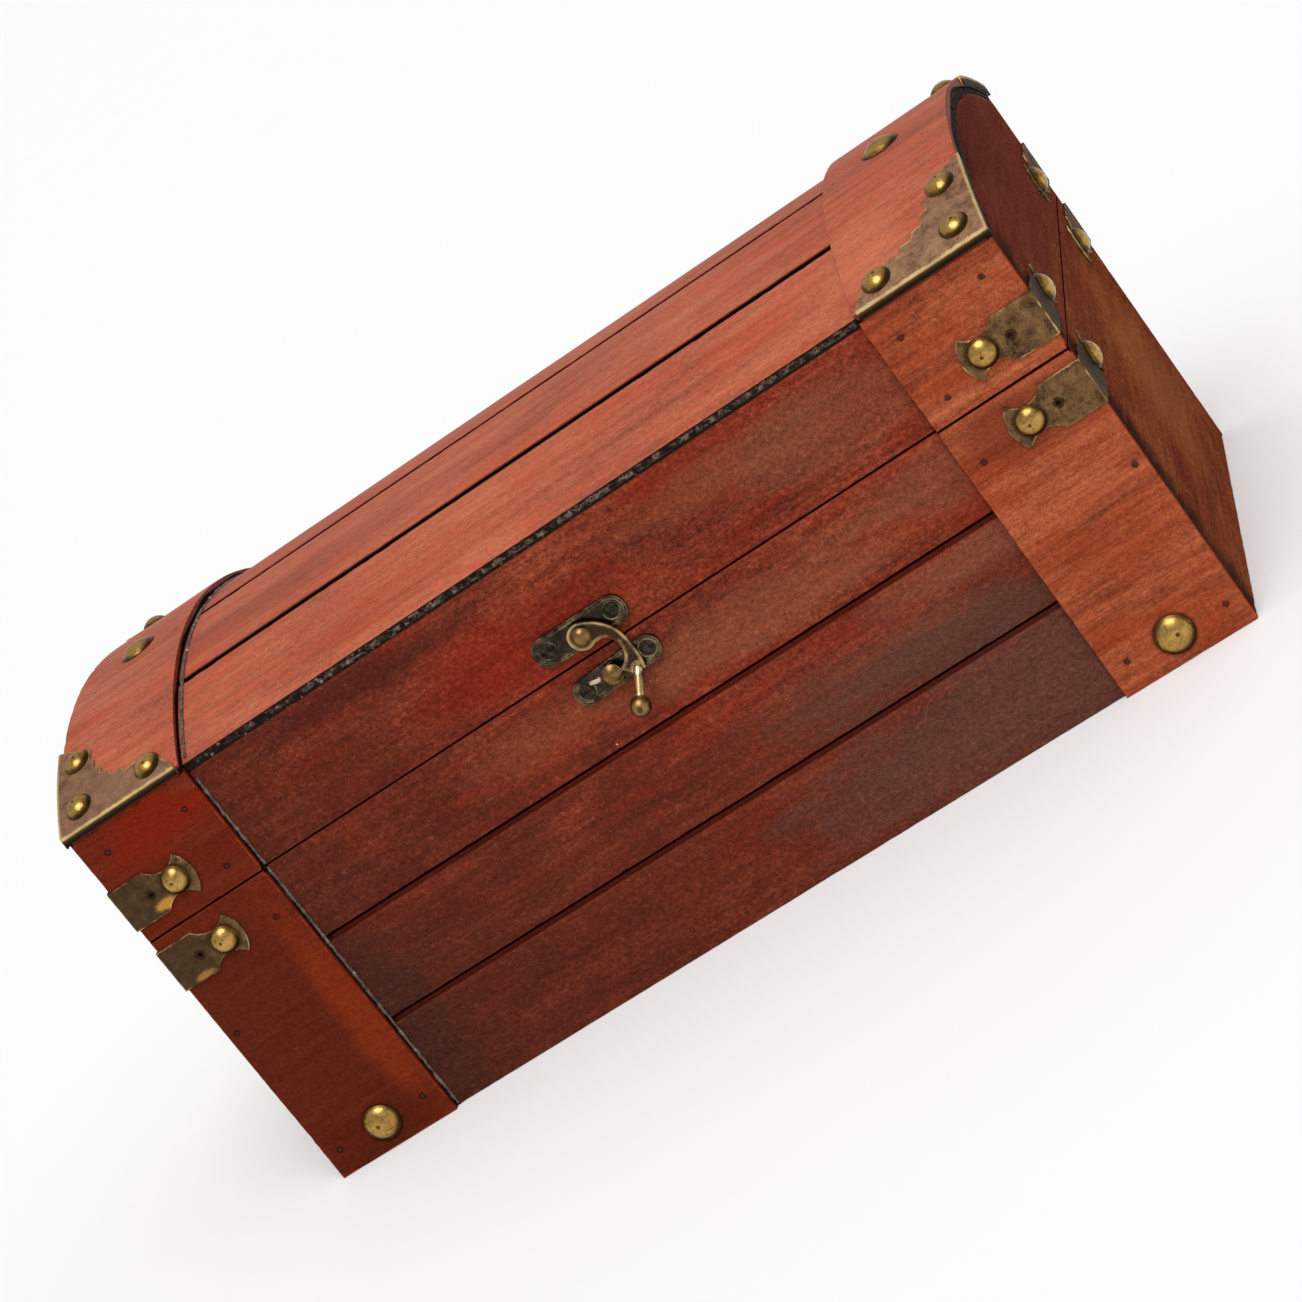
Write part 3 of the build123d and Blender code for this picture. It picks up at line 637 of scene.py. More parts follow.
@dataclass(frozen=True)
class HardGlue:
    """Dried grey glue with sawdust and pale specks in it."""

    name: str = "hard_glue"
    slot: str = "plank_wood"

    def material(self) -> bpy.types.Material:
        """Makes the material.

        Returns:
            The material.
        """
        material, graph = new_graph(self.name)
        at = graph.place()
        lump = graph.cloud(at, (1.4, 1.4, 1.4), 4.0, 0.7)
        specks = graph.cells(at, 2.4, 0.72, 0.2)
        graph.surface({
            "Base Color": graph.blend(specks, graph.ramp(lump, *GLUE_GREYS), SAWDUST),
            "Roughness": 0.45 + lump.swing(0.3),
            "Normal": graph.relief(lump * 0.25),
        })
        return material


class Finish(Enum):
    """Every finish on the box."""

    PLANK = StainedWood(
        name="plank_stain", slot="plank_wood",
        thin=tint(154, 76, 48), main=tint(120, 48, 30), thick=tint(62, 28, 20),
        ruddy=tint(132, 36, 19), worn=tint(138, 58, 36),
        pebbles=0.33, mottles=0.27, blotches=0.66, streaks=0.4, fibres=0.25, pebble_relief=0.065,
        peel=0.95, glint=0.16, wear_width=0.6, wear=0.3, roughness=0.6, gloss=0.05,
        patches=patches(
            (0, -59, 8, 400, 8, 46, 84, 36, 24, 0.55),
            # Painted shade: the left part of the front is darker.
            (-130, -59, 40, 150, 8, 130, 76, 32, 21, 0.8),
            (64, -59, 30, 46, 8, 8, 82, 52, 42, 0.85),
            (66, -59, 11, 66, 8, 19, 92, 59, 49, 0.75),
            (82, -59, 62, 26, 8, 9, 124, 70, 50, 0.6),
            (-84, -59, 22, 13, 8, 34, 60, 34, 26, 0.7),
            (-16, -59, 80, 34, 8, 12, 128, 30, 16, 0.5),
            (-44, -59, 93, 40, 8, 5, 66, 28, 21, 0.6),
            (34, -59, 58, 50, 8, 9, 130, 76, 52, 0.6),
            (50, -59, 88, 36, 8, 7, 132, 70, 44, 0.55),
            (46, -59, 34, 44, 8, 9, 98, 60, 46, 0.5),
            (-18, -59, 60, 26, 8, 8, 136, 66, 42, 0.5),
            (80, -59, 44, 34, 8, 6, 122, 74, 54, 0.6),
            (72, -59, 84, 34, 8, 12, 120, 70, 50, 0.5),
        ),
    )
    TOP = StainedWood(
        name="top_stain", slot="top_wood",
        thin=tint(190, 112, 82), main=tint(170, 90, 66), thick=tint(126, 62, 48),
        ruddy=tint(180, 76, 50), worn=tint(196, 118, 84),
        pebbles=0.25, mottles=0.25, blotches=0.7, streaks=0.35, fibres=0.15, pebble_relief=0.04,
        peel=0.45, wear_width=0.6, wear=0.25, roughness=0.5, gloss=0.05, crust=True,
        patches=patches(
            (94, -44, 106, 13, 16, 12, 194, 112, 78, 0.55),
            (-30, -50, 102, 40, 7, 8, 160, 72, 50, 0.5),
            (-60, -20, 112, 60, 9, 8, 146, 74, 58, 0.5),
        ),
        nails=tuple((side * CROWN_NAIL_X, CROWN_NAIL_Y, 115.0) for side in (1, -1)), mirrored=False,
    )
    BATTEN = StainedWood(
        name="batten_stain", slot="batten_wood",
        thin=tint(182, 102, 66), main=tint(152, 75, 48), thick=tint(94, 42, 28),
        ruddy=tint(150, 58, 32), worn=tint(186, 76, 38),
        pebbles=0.3, mottles=0.25, blotches=0.65, streaks=0.75, fibres=0.32, pebble_relief=0.05,
        peel=0.6, wear_width=0.6, wear=0.5, roughness=0.55, gloss=0.0,
        patches=patches(
            # Painted shade: the left battens are darker.
            (-130, -61, 60, 120, 8, 220, 96, 32, 18, 0.92),
            (-108, -61, 30, 30, 8, 50, 76, 32, 20, 0.5),
            (-116, -61, 44, 14, 8, 30, 88, 38, 22, 0.5),
            (-92, -61, 30, 6, 8, 36, 134, 48, 20, 0.6),
            (-104, -61, 5, 26, 8, 9, 80, 30, 18, 0.7),
            (-100, -61, 92, 20, 8, 8, 124, 30, 14, 0.7),
            (104, -61, 63, 24, 8, 8, 112, 46, 28, 0.7),
        ),
        pins=(
            *((x, FACE, z) for x, z in BODY_PINS + LID_PINS),
            *((SPARE_HOLE_X, FACE, z) for z in STRAP_HEIGHTS),
        ),
        nails=((FOOT_NAIL_X, FACE, FOOT_NAIL_Z),),
    )
    END = StainedWood(
        name="end_stain", slot="end_wood", grain=Grain.ALONG_DEPTH,
        thin=tint(142, 80, 48), main=tint(120, 62, 37), thick=tint(80, 42, 30),
        ruddy=tint(112, 48, 34), worn=tint(140, 74, 42),
        pebbles=0.3, mottles=0.4, blotches=0.9, streaks=0.5, fibres=0.3, pebble_relief=0.03,
        wear_width=0.8, wear=0.3, roughness=0.6, gloss=0.0,
        patches=patches(
            # Painted shade: darker near the top under the arch and along the front arris.
            (0, 0, 104, 600, 120, 52, 94, 44, 38, 0.85),
            (0, -62, 54, 600, 20, 130, 48, 30, 26, 0.9),
            (0, -34, 112, 600, 50, 14, 56, 32, 29, 0.75),
            (0, 20, 30, 600, 40, 26, 138, 84, 48, 0.6),
        ),
        pins=tuple((120.0, SPARE_HOLE_Y, z) for z in STRAP_HEIGHTS),
    )
    INSIDE = BareWood(name="bare_wood", slot="floor_wood")
    PLATE = AgedMetal(
        name="plate_patina", slot="plate_brass",
        dark=tint(46, 33, 22), main=tint(113, 84, 54), light=tint(146, 115, 76),
        bright=tint(216, 182, 122), mottle=2.6, rim_width=0.4, rim_strength=0.8, rim_cover=0.35,
        rubbed=0.15, roughness=0.5, metallic=0.75, contrast=0.9, edge_tint=BROWN_EDGE,
        nails=(
            *((STRAP_NAIL_X, PLATE_FACE, z) for z in STRAP_HEIGHTS),
            *((PLATE_END, STRAP_NAIL_Y, z) for z in STRAP_HEIGHTS),
        ),
        patches=patches(
            # Painted shade: the left straps and the straps' legs on the ends are darker.
            (-116, -61.6, 70, 12, 3, 40, 58, 44, 30, 0.75),
            (120.6, -50, 70, 2, 15, 30, 62, 46, 32, 0.9),
            (-110.6, -61.6, 75.9, 3.6, 3, 1.6, 206, 150, 60, 0.85),
            (-114, -61.6, 57.6, 3.2, 3, 1.2, 180, 134, 60, 0.7),
        ),
    )
    BRACKET = AgedMetal(
        name="bracket_patina", slot="plate_brass",
        dark=tint(92, 66, 50), main=tint(162, 122, 94), light=tint(188, 150, 118),
        bright=tint(228, 196, 136), mottle=3.0, rim_width=0.4, rim_strength=0.8, rim_cover=0.5,
        rubbed=0.1, roughness=0.5, metallic=0.7, contrast=0.9, grain_relief=0.012,
        lip=tint(36, 28, 19), edge_tint=BROWN_EDGE,
        patches=patches(
            # Painted shadow: the back right bracket is dark.
            (118, 58, 101, 34, 30, 30, 48, 38, 31, 0.9),
            (-118, -58, 101, 34, 20, 30, 140, 104, 80, 0.5),
        ),
    )
    # The nails' rim colour is dark: painted shade round the edge of each head.
    NAIL = AgedMetal(
        name="nail_polish", slot="nail_brass",
        dark=tint(54, 35, 14), main=tint(184, 144, 77), light=tint(214, 176, 103),
        bright=tint(76, 51, 21), mottle=2.0, rim_width=0.9, rim_strength=0.85, rubbed=0.0,
        roughness=0.3, rim_roughness=0.42, metallic=1.0, grain_relief=0.004, pits=0.0, contrast=0.6,
    )
    # Its bright rims are rubbed wear and painted highlights.
    LATCH = AgedMetal(
        name="latch_patina", slot="latch_bronze",
        dark=tint(18, 15, 12), main=tint(50, 42, 34), light=tint(80, 68, 54),
        bright=tint(160, 138, 98), mottle=1.8, rim_width=0.36, rim_strength=0.75, rim_cover=0.4,
        rim_break=0.4, rubbed=0.0, roughness=0.26, rim_roughness=0.26, metallic=0.95,
        grain_relief=0.006, pits=0.1, contrast=0.8,
        # A painted highlight on the keeper's rib beside the post.
        patches=patches((-2.2, -60.8, 65.2, 2.2, 1.6, 0.9, 206, 188, 150, 0.95)),
    )
    ARM = AgedMetal(
        name="arm_patina", slot="latch_bronze",
        dark=tint(42, 29, 18), main=tint(78, 56, 36), light=tint(112, 84, 54),
        bright=tint(206, 174, 120), mottle=1.8, rim_width=0.95, rim_strength=0.75, rim_cover=0.5,
        rim_break=1.0, rubbed=0.1, roughness=0.36, rim_roughness=0.28, metallic=0.95,
        grain_relief=0.006, pits=0.2, contrast=0.7,
        patches=patches(
            (6.2, -63.5, 60.2, 2.4, 5, 4.8, 176, 148, 100, 0.9),
            (4.3, -67, 57.3, 2.6, 4, 2.6, 172, 138, 84, 0.85),
            (4.2, -68.6, 56.9, 1.1, 1.6, 1.1, 70, 50, 32, 0.9),
            # A small painted highlight on the arm.
            (7.5, -62.6, 63, 1.3, 2.2, 1.2, 226, 208, 170, 0.9),
        ),
    )
    BRIGHT = AgedMetal(
        name="latch_polish", slot="latch_bright",
        dark=tint(60, 42, 24), main=tint(132, 100, 60), light=tint(172, 140, 92),
        bright=tint(206, 182, 132), mottle=1.8, rim_width=0.3, rubbed=0.15, roughness=0.3,
        metallic=1.0, grain_relief=0.004, pits=0.2, contrast=0.5,
        # Painted shade on the post's head.
        patches=patches((2.3, -66, 64.5, 2.2, 4, 2.2, 82, 60, 42, 0.85)),
    )
    SCREW = AgedMetal(
        name="screw_patina", slot="latch_bright",
        dark=tint(18, 15, 12), main=tint(48, 41, 33), light=tint(82, 72, 58),
        bright=tint(120, 106, 86), mottle=1.2, rim_width=0.2, rim_cover=0.2, rubbed=0.1,
        roughness=0.36, metallic=0.95, grain_relief=0.006, pits=0.3,
    )
    HINGE = AgedMetal(
        name="hinge_patina", slot="hinge_brass",
        dark=tint(60, 46, 26), main=tint(124, 98, 58), light=tint(160, 130, 80),
        bright=tint(210, 178, 114), mottle=2.6, rim_width=0.35, rim_cover=0.4, rubbed=0.2,
        roughness=0.42, metallic=0.9, grain_relief=0.01, pits=0.4,
    )
    PIN = AgedMetal(
        name="pin_rust", slot="pin_steel",
        dark=tint(16, 10, 8), main=tint(44, 26, 19), light=tint(66, 40, 30),
        bright=tint(84, 58, 44), mottle=0.6, rim_width=0.1, rim_strength=0.3, rubbed=0.0,
        roughness=0.7, metallic=0.3, grain_relief=0.01,
    )
    GLUE = HardGlue()

    @cache
    def material(self) -> bpy.types.Material:
        """Gives the finish's material, made when it is first asked for."""
        return self.value.material()


# Shaping

AWAY_FROM_EDGES = 9.0
RIM_SPACING = 0.4
WORN_WIDTH = 0.9
CHIP_SIZE = 2.3
CHIP_RARITY = 0.12
NICK_SIZE = 0.9
WAVE_SIZE = 14.0


def spread(first: float, last: float, spacing: float) -> list[float]:
    """Divides a stretch evenly, both ends included, in steps no longer than the spacing."""
    count = max(1, math.ceil(abs(last - first) / spacing))
    return [first + (last - first) * step / count for step in range(count + 1)]


def hills(place: Vector) -> float:
    """Gives smooth noise from 0 to 1, whose lumps are about one unit wide."""
    return 0.5 + 0.5 * noise.noise(place)


def only(kind: type, items: Iterable) -> list:
    """Picks the vertices or the edges out of an operator's result."""
    return [item for item in items if isinstance(item, kind)]


def shown(name: str, data: bpy.types.ID) -> bpy.types.Object:
    """Makes an object and links it to the scene.

    Args:
        name: The object's name.
        data: Its mesh, lamp or camera.

    Returns:
        The object.
    """
    made = bpy.data.objects.new(name, data)
    bpy.context.scene.collection.objects.link(made)
    return made


class Shape:
    """A bmesh in millimetres that bmesh operators shape."""

    def __init__(self) -> None:
        """Starts empty."""
        self.bm = bmesh.new()
        self.rims: list[Vector] = []

    @classmethod
    def extruded(cls, outline: Sequence[Point], reach: Point) -> "Shape":
        """Pushes a flat outline along a straight way.

        Args:
            outline: The outline's corners.
            reach: How far it is pushed.

        Returns:
            The shape.
        """
        shape = cls()
        face = shape.bm.faces.new([shape.bm.verts.new(point) for point in outline])
        pushed = bmesh.ops.extrude_face_region(shape.bm, geom=[face], use_keep_orig=True)["geom"]
        bmesh.ops.translate(shape.bm, vec=reach, verts=only(bmesh.types.BMVert, pushed))
        bmesh.ops.recalc_face_normals(shape.bm, faces=shape.bm.faces)
        return shape

    @classmethod
    def block(cls, low: Point, high: Point) -> "Shape":
        """Makes a board between two corners.

        Args:
            low: The lowest corner.
            high: The highest corner.

        Returns:
            The shape.
        """
        shape = cls()
        bmesh.ops.create_cube(shape.bm, size=1.0)
        low_corner, high_corner = Vector(low), Vector(high)
        bmesh.ops.scale(shape.bm, vec=high_corner - low_corner, verts=shape.bm.verts)
        bmesh.ops.translate(shape.bm, vec=(low_corner + high_corner) / 2, verts=shape.bm.verts)
        return shape

    @classmethod
    def of_node(cls, node: str) -> "Shape":
        """Copies a CAD node's mesh and merges its triangles into whole faces.

        Args:
            node: The node's name.

        Returns:
            The shape.
        """
        shape = cls()
        shape.bm.from_mesh(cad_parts[node].data)
        bmesh.ops.scale(shape.bm, vec=(1000.0,) * 3, verts=shape.bm.verts)
        bmesh.ops.remove_doubles(shape.bm, verts=shape.bm.verts, dist=0.002)
        bmesh.ops.dissolve_limit(
            shape.bm, angle_limit=math.radians(1.0), verts=shape.bm.verts, edges=shape.bm.edges
        )
        return shape

    def sharp_edges(self, angle: float, test: Test | None = None) -> list[bmesh.types.BMEdge]:
        """Finds the edges at which the surface turns by more than an angle in degrees.

        Args:
            angle: The angle.
            test: What both ends of an edge have to pass.

        Returns:
            The edges.
        """
        limit = math.radians(angle)
        found = [edge for edge in self.bm.edges if edge.is_manifold and edge.calc_face_angle() > limit]
        return [edge for edge in found if test is None or all(test(vert.co) for vert in edge.verts)]

    def ease(
        self, edges: list[bmesh.types.BMEdge], width: float, segments: int = 2, kept: Test | None = None
    ) -> None:
        """Rounds edges and remembers where they were.

        Args:
            edges: The edges.
            width: The width that is taken off.
            segments: The number of facets of the round.
            kept: Which edges are remembered, by their first end.
        """
        for edge in edges:
            if kept is None or kept(edge.verts[0].co):
                self.mark_rim(*(vert.co.copy() for vert in edge.verts))
        bmesh.ops.bevel(
            self.bm, geom=edges, offset=width, offset_type="OFFSET", segments=segments, profile=0.5,
            affect="EDGES", clamp_overlap=True, material=-1,
        )

    def ease_face(self, axis: int, place: float, width: float, segments: int = 3) -> None:
        """Rounds the arrises of the flat face that lies at one place of an axis."""
        edges = self.sharp_edges(40.0, lambda point: abs(point[axis] - place) < 0.01)
        self.ease(edges, width, segments)

    def mark_rim(self, start: Vector, end: Vector) -> None:
        """Remembers a straight edge as a row of points."""
        shares = spread(0.0, 1.0, RIM_SPACING / max((end - start).length, 0.01))
        self.rims += [start.lerp(end, share) for share in shares]

    def divide(self, axis: int, count: int) -> None:
        """Divides the edges that run the whole length of one axis.

        Args:
            axis: 0, 1 or 2 for X, Y or Z.
            count: The number of cuts.
        """
        spans = [abs(edge.verts[0].co[axis] - edge.verts[1].co[axis]) for edge in self.bm.edges]
        longest = max(spans)
        chosen = [edge for edge, span in zip(self.bm.edges, spans) if span > 0.9 * longest]
        bmesh.ops.subdivide_edges(self.bm, edges=chosen, cuts=count, use_grid_fill=True)

    def bisect(self, place: Point, normal: Point, clear: bool = False) -> list[bmesh.types.BMEdge]:
        """Cuts the whole shape at a plane.

        Args:
            place: A point of the plane.
            normal: The way that the plane faces.
            clear: Whether all that lies in front of the plane is cut off.

        Returns:
            The edges of the cut.
        """
        geometry = self.bm.verts[:] + self.bm.edges[:] + self.bm.faces[:]
        cut = bmesh.ops.bisect_plane(
            self.bm, geom=geometry, dist=0.001, plane_co=place, plane_no=normal, clear_outer=clear
        )
        return only(bmesh.types.BMEdge, cut["geom_cut"])

    def cut(self, axis: int, *places: float) -> None:
        """Cuts the whole shape across one axis.

        Args:
            axis: 0, 1 or 2 for X, Y or Z.
            places: Where on that axis.
        """
        normal = Vector([float(number == axis) for number in range(3)])
        for place in places:
            self.bisect(normal * place, normal)

    def slice(self, axis: int, spacing: float) -> None:
        """Cuts the whole shape across one axis at an even spacing."""
        reach = [vert.co[axis] for vert in self.bm.verts]
        self.cut(axis, *spread(min(reach), max(reach), spacing)[1:-1])

    def trim(self, place: Point, outward: Point) -> None:
        """Cuts off all that lies beyond a plane and closes the cut."""
        bmesh.ops.contextual_create(self.bm, geom=self.bisect(place, outward, clear=True))

    def rim_distances(self) -> list[float]:
        """Measures how far each vertex is from the nearest eased edge.

        Returns:
            The distances in the order of the vertices.
        """
        if not self.rims:
            return [AWAY_FROM_EDGES] * len(self.bm.verts)
        tree = kdtree.KDTree(len(self.rims))
        for number, place in enumerate(self.rims):
            tree.insert(place, number)
        tree.balance()
        return [tree.find(vert.co)[2] for vert in self.bm.verts]

    def age(self, chips: float, ripple: float, seed: float) -> None:
        """Dents the eased edges and makes the surface slightly uneven, inwards only.

        Args:
            chips: The depth of the deepest chips at the edges.
            ripple: The depth of the unevenness elsewhere.
            seed: Sets one board apart from the next.
        """
        self.bm.normal_update()
        shift = Vector((seed * 61.0, seed * 23.0, seed * 11.0))
        steps = []
        for vert, rim in zip(self.bm.verts, self.rim_distances()):
            at = vert.co + shift
            near = max(0.0, 1.0 - rim / WORN_WIDTH)
            chip = max(0.0, noise.noise(at / CHIP_SIZE) - CHIP_RARITY) * 1.6 * chips * near
            nick = hills(at / NICK_SIZE) * 0.35 * chips * near
            wave = hills(at / WAVE_SIZE) * ripple
            steps.append(vert.normal * -(chip + nick + wave))
        self.step(steps)

    def step(self, steps: Sequence[Vector]) -> None:
        """Moves each vertex by its own step."""
        for vert, step in zip(self.bm.verts, steps):
            vert.co += step

    def store(self, name: str, values: Iterable[float]) -> None:
        """Stores a number at each vertex for the materials.

        Args:
            name: The attribute's name.
            values: The numbers in the order of the vertices.
        """
        layer = self.bm.verts.layers.float.get(name) or self.bm.verts.layers.float.new(name)
        for vert, value in zip(self.bm.verts, values):
            vert[layer] = value

    def mesh(self, name: str) -> bpy.types.Mesh:
        """Turns the shape into a mesh, after which it can't be shaped any more.

        Args:
            name: The mesh's name.

        Returns:
            The mesh.
        """
        mesh = bpy.data.meshes.new(name)
        self.bm.to_mesh(mesh)
        self.bm.free()
        return mesh

    def piece(
        self, name: str, body: str, finishes: Sequence[Finish], nodes: Sequence[str] = ()
    ) -> None:
        """Makes the finished piece, parents it to its body and hides the CAD nodes that it stands for.

        Args:
            name: The piece's name.
            body: The CAD body that it moves with.
            finishes: Its finishes, by material index.
            nodes: The CAD nodes that it stands for.
        """
        if self.bm.verts.layers.float.get("rim") is None:
            self.store("rim", self.rim_distances())
        bmesh.ops.scale(self.bm, vec=(0.001,) * 3, verts=self.bm.verts)
        mesh = self.mesh(name)
        mesh.polygons.foreach_set("use_smooth", [True] * len(mesh.polygons))
        mesh.set_sharp_from_angle(angle=math.radians(38.0))
        for finish in finishes:
            mesh.materials.append(finish.material())
        made = shown(name, mesh)
        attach(made, body)
        if nodes:
            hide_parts(*nodes)
        log.info("%s: %d faces on %s", name, len(mesh.polygons), body)


# The wooden parts


@dataclass
class Boards:
    """Sizes that the body's and the lid's boards share, in millimetres."""

    half_width: float = 120.0
    face_y: float = FACE
    plank_face: float = 59.0
    lap_y: float = 55.5
    inner_y: float = 52.0
    inner_x: float = 113.0
    batten_edge: float = BATTEN_EDGE
    seam_z: float = SEAM
    corner_z: float = 100.5
    arch_rise: float = 14.5
    batten_thickness: float = 2.0
    skin_thickness: float = 2.0
    lap_length: float = 3.0
    arris: float = 0.38
    glue_line: float = 0.05
    stain_and_shade_reach: float = 0.8
    stained_depth: float = 0.8
    joint_face: float = 0.6
    seam_shade: float = 6.5
    groove_depth: float = 1.6
    end_border: float = 0.6
    ripple: float = 0.06
    step: float = 1.2
    plank_cell: float = 2.6
    plank_chips: float = 0.3
    batten_cell: float = 1.4
    end_cell: float = 2.5
    end_spacing: float = 2.0
    end_facets: int = 3
    body: str = "box_body"
    made: int = 0

    def __post_init__(self) -> None:
        """Works out the arch from its height and depth."""
        self.arch_radius = (self.face_y**2 + self.arch_rise**2) / (2 * self.arch_rise)
        self.arch_centre_z = self.corner_z + self.arch_rise - self.arch_radius
        self.skin_radius = self.arch_radius - self.batten_thickness
        self.vault_radius = self.skin_radius - self.skin_thickness
        self.arch_end = math.asin(self.face_y / self.arch_radius)
        self.skin_end = math.asin(self.plank_face / self.skin_radius)

    def arch_height(self, y: float, radius: float) -> float:
        """Gives the height of an arch of this radius at a place of the depth."""
        return self.arch_centre_z + math.sqrt(radius**2 - y**2)

    def bend(self, flat: Vector) -> Vector:
        """Bends a point over the arch from its width, run from the crown at the skin, and radius."""
        sine, cosine = (turn(flat.y / self.skin_radius) for turn in (math.sin, math.cos))
        return Vector((flat.x, flat.z * sine, self.arch_centre_z + flat.z * cosine))

    def joint_depth(self, place: Vector, below: float, depth: float) -> float:
        """Gives the depth of a point near the joint between body and lid.

        Its flat faces get only the red tint, and the arrises beside it count as deep, which paints a
        shadow along the seam.

        Args:
            place: The point.
            below: Its distance from the board's outer face.
            depth: Its depth if there were no joint.

        Returns:
            The depth.
        """
        away = abs(place.z - self.seam_z)
        if away < CLOSE / 2 and below > self.joint_face:
            return self.stained_depth
        return max(depth, max(0.0, self.seam_shade * (1.0 - away / self.arris)))

    def wall_depth(self, place: Vector) -> float:
        """Gives the depth of a point of a long wall, from which its painted shade is set; the floors of
        its grooves get only the red tint.
        """
        below = self.plank_face - abs(place.y)
        return self.joint_depth(place, below, 0.6 * below if below < self.groove_depth else below)

    def batten_depth(self, place: Vector) -> float:
        """Gives the depth of a point of an upright batten, whose inner edge counts as deep, for a
        painted shadow beside the planks.

        Args:
            place: The point.

        Returns:
            The depth.
        """
        below = self.face_y - abs(place.y)
        inner = 2.6 * below if abs(place.x) < self.batten_edge + CLOSE else 0.5 * below
        return self.joint_depth(place, below, inner)

    def end_depth(self, place: Vector) -> float:
        """Gives the depth of a point of an end panel, which gets painted shade only beside the walls."""
        edge = 2.0 * max(0.0, abs(place.y) - self.plank_face + self.end_border)
        return self.joint_depth(place, self.half_width - abs(place.x), edge)

    def finish_board(
        self, shape: Shape, node: str, finish: Finish, depth: Measure, inward: Way | None = None,
        chips: float = 0.22, crust: Measure | None = None,
    ) -> None:
        """Ages a board, stores its attributes and makes its piece.

        Args:
            shape: The board.
            node: Its CAD node.
            finish: The stain of its outer faces.
            depth: Gives how deep a point lies below the outer face.
            inward: Gives the way into the box at a point, where the board has an inner face.
            chips: The depth of the chips at its arrises.
            crust: Gives how far a point of a glued cut edge lies below its arris, 0 elsewhere.
        """
        self.made += 1
        seed = (self.made * GOLDEN) % 1.0
        shape.store("rim", shape.rim_distances())
        depths = [depth(vert.co) for vert in shape.bm.verts]
        crusts = [crust(vert.co) if crust else 0.0 for vert in shape.bm.verts]
        shape.age(chips, self.ripple, seed * 10.0)
        shape.store("sunk", depths)
        shape.store("crust", crusts)
        shape.store("board", [seed] * len(depths))
        for face in shape.bm.faces:
            if inward and face.normal.dot(inward(face.calc_center_median())) > 0.8:
                face.material_index = Face.INNER.value
        shape.piece(f"{node}_wood", self.body, (finish, Finish.INSIDE), (node,))

    def wall_board(self, outline: Outline, side: int, node: str) -> None:
        """Builds a board of a long wall.

        Args:
            outline: Its section as depths and heights.
            side: -1 for the front wall, 1 for the back wall.
            node: Its CAD node.
        """
        length = 2 * self.inner_x
        shape = Shape.extruded([(-self.inner_x, side * y, z) for y, z in outline], (length, 0.0, 0.0))
        shape.ease_face(1, side * self.plank_face, self.arris)
        shape.divide(0, round(length / self.step))
        self.finish_board(
            shape, node, Finish.PLANK, self.wall_depth, lambda _: Vector((0.0, -side, 0.0)),
            self.plank_chips,
        )

    def end_board(self, shape: Shape, side: int, node: str) -> None:
        """Finishes an end panel.

        Args:
            shape: The panel with square arrises.
            side: -1 for the left end, 1 for the right end.
            node: Its CAD node.
        """
        shape.ease_face(0, side * self.half_width, self.arris, self.end_facets)
        shape.cut(0, side * (self.half_width - self.stain_and_shade_reach))
        shape.slice(1, self.end_spacing)
        shape.slice(2, self.end_cell)
        self.finish_board(shape, node, Finish.END, self.end_depth, lambda _: Vector((-side, 0.0, 0.0)))

    def batten(self, shape: Shape, side_y: int, node: str) -> None:
        """Finishes an upright batten.

        Args:
            shape: The batten with square arrises.
            side_y: -1 at the front, 1 at the back.
            node: Its CAD node.
        """
        shape.ease_face(1, side_y * self.face_y, self.arris)
        shape.slice(0, self.batten_cell)
        shape.slice(2, self.batten_cell)
        self.finish_board(shape, node, Finish.BATTEN, self.batten_depth)


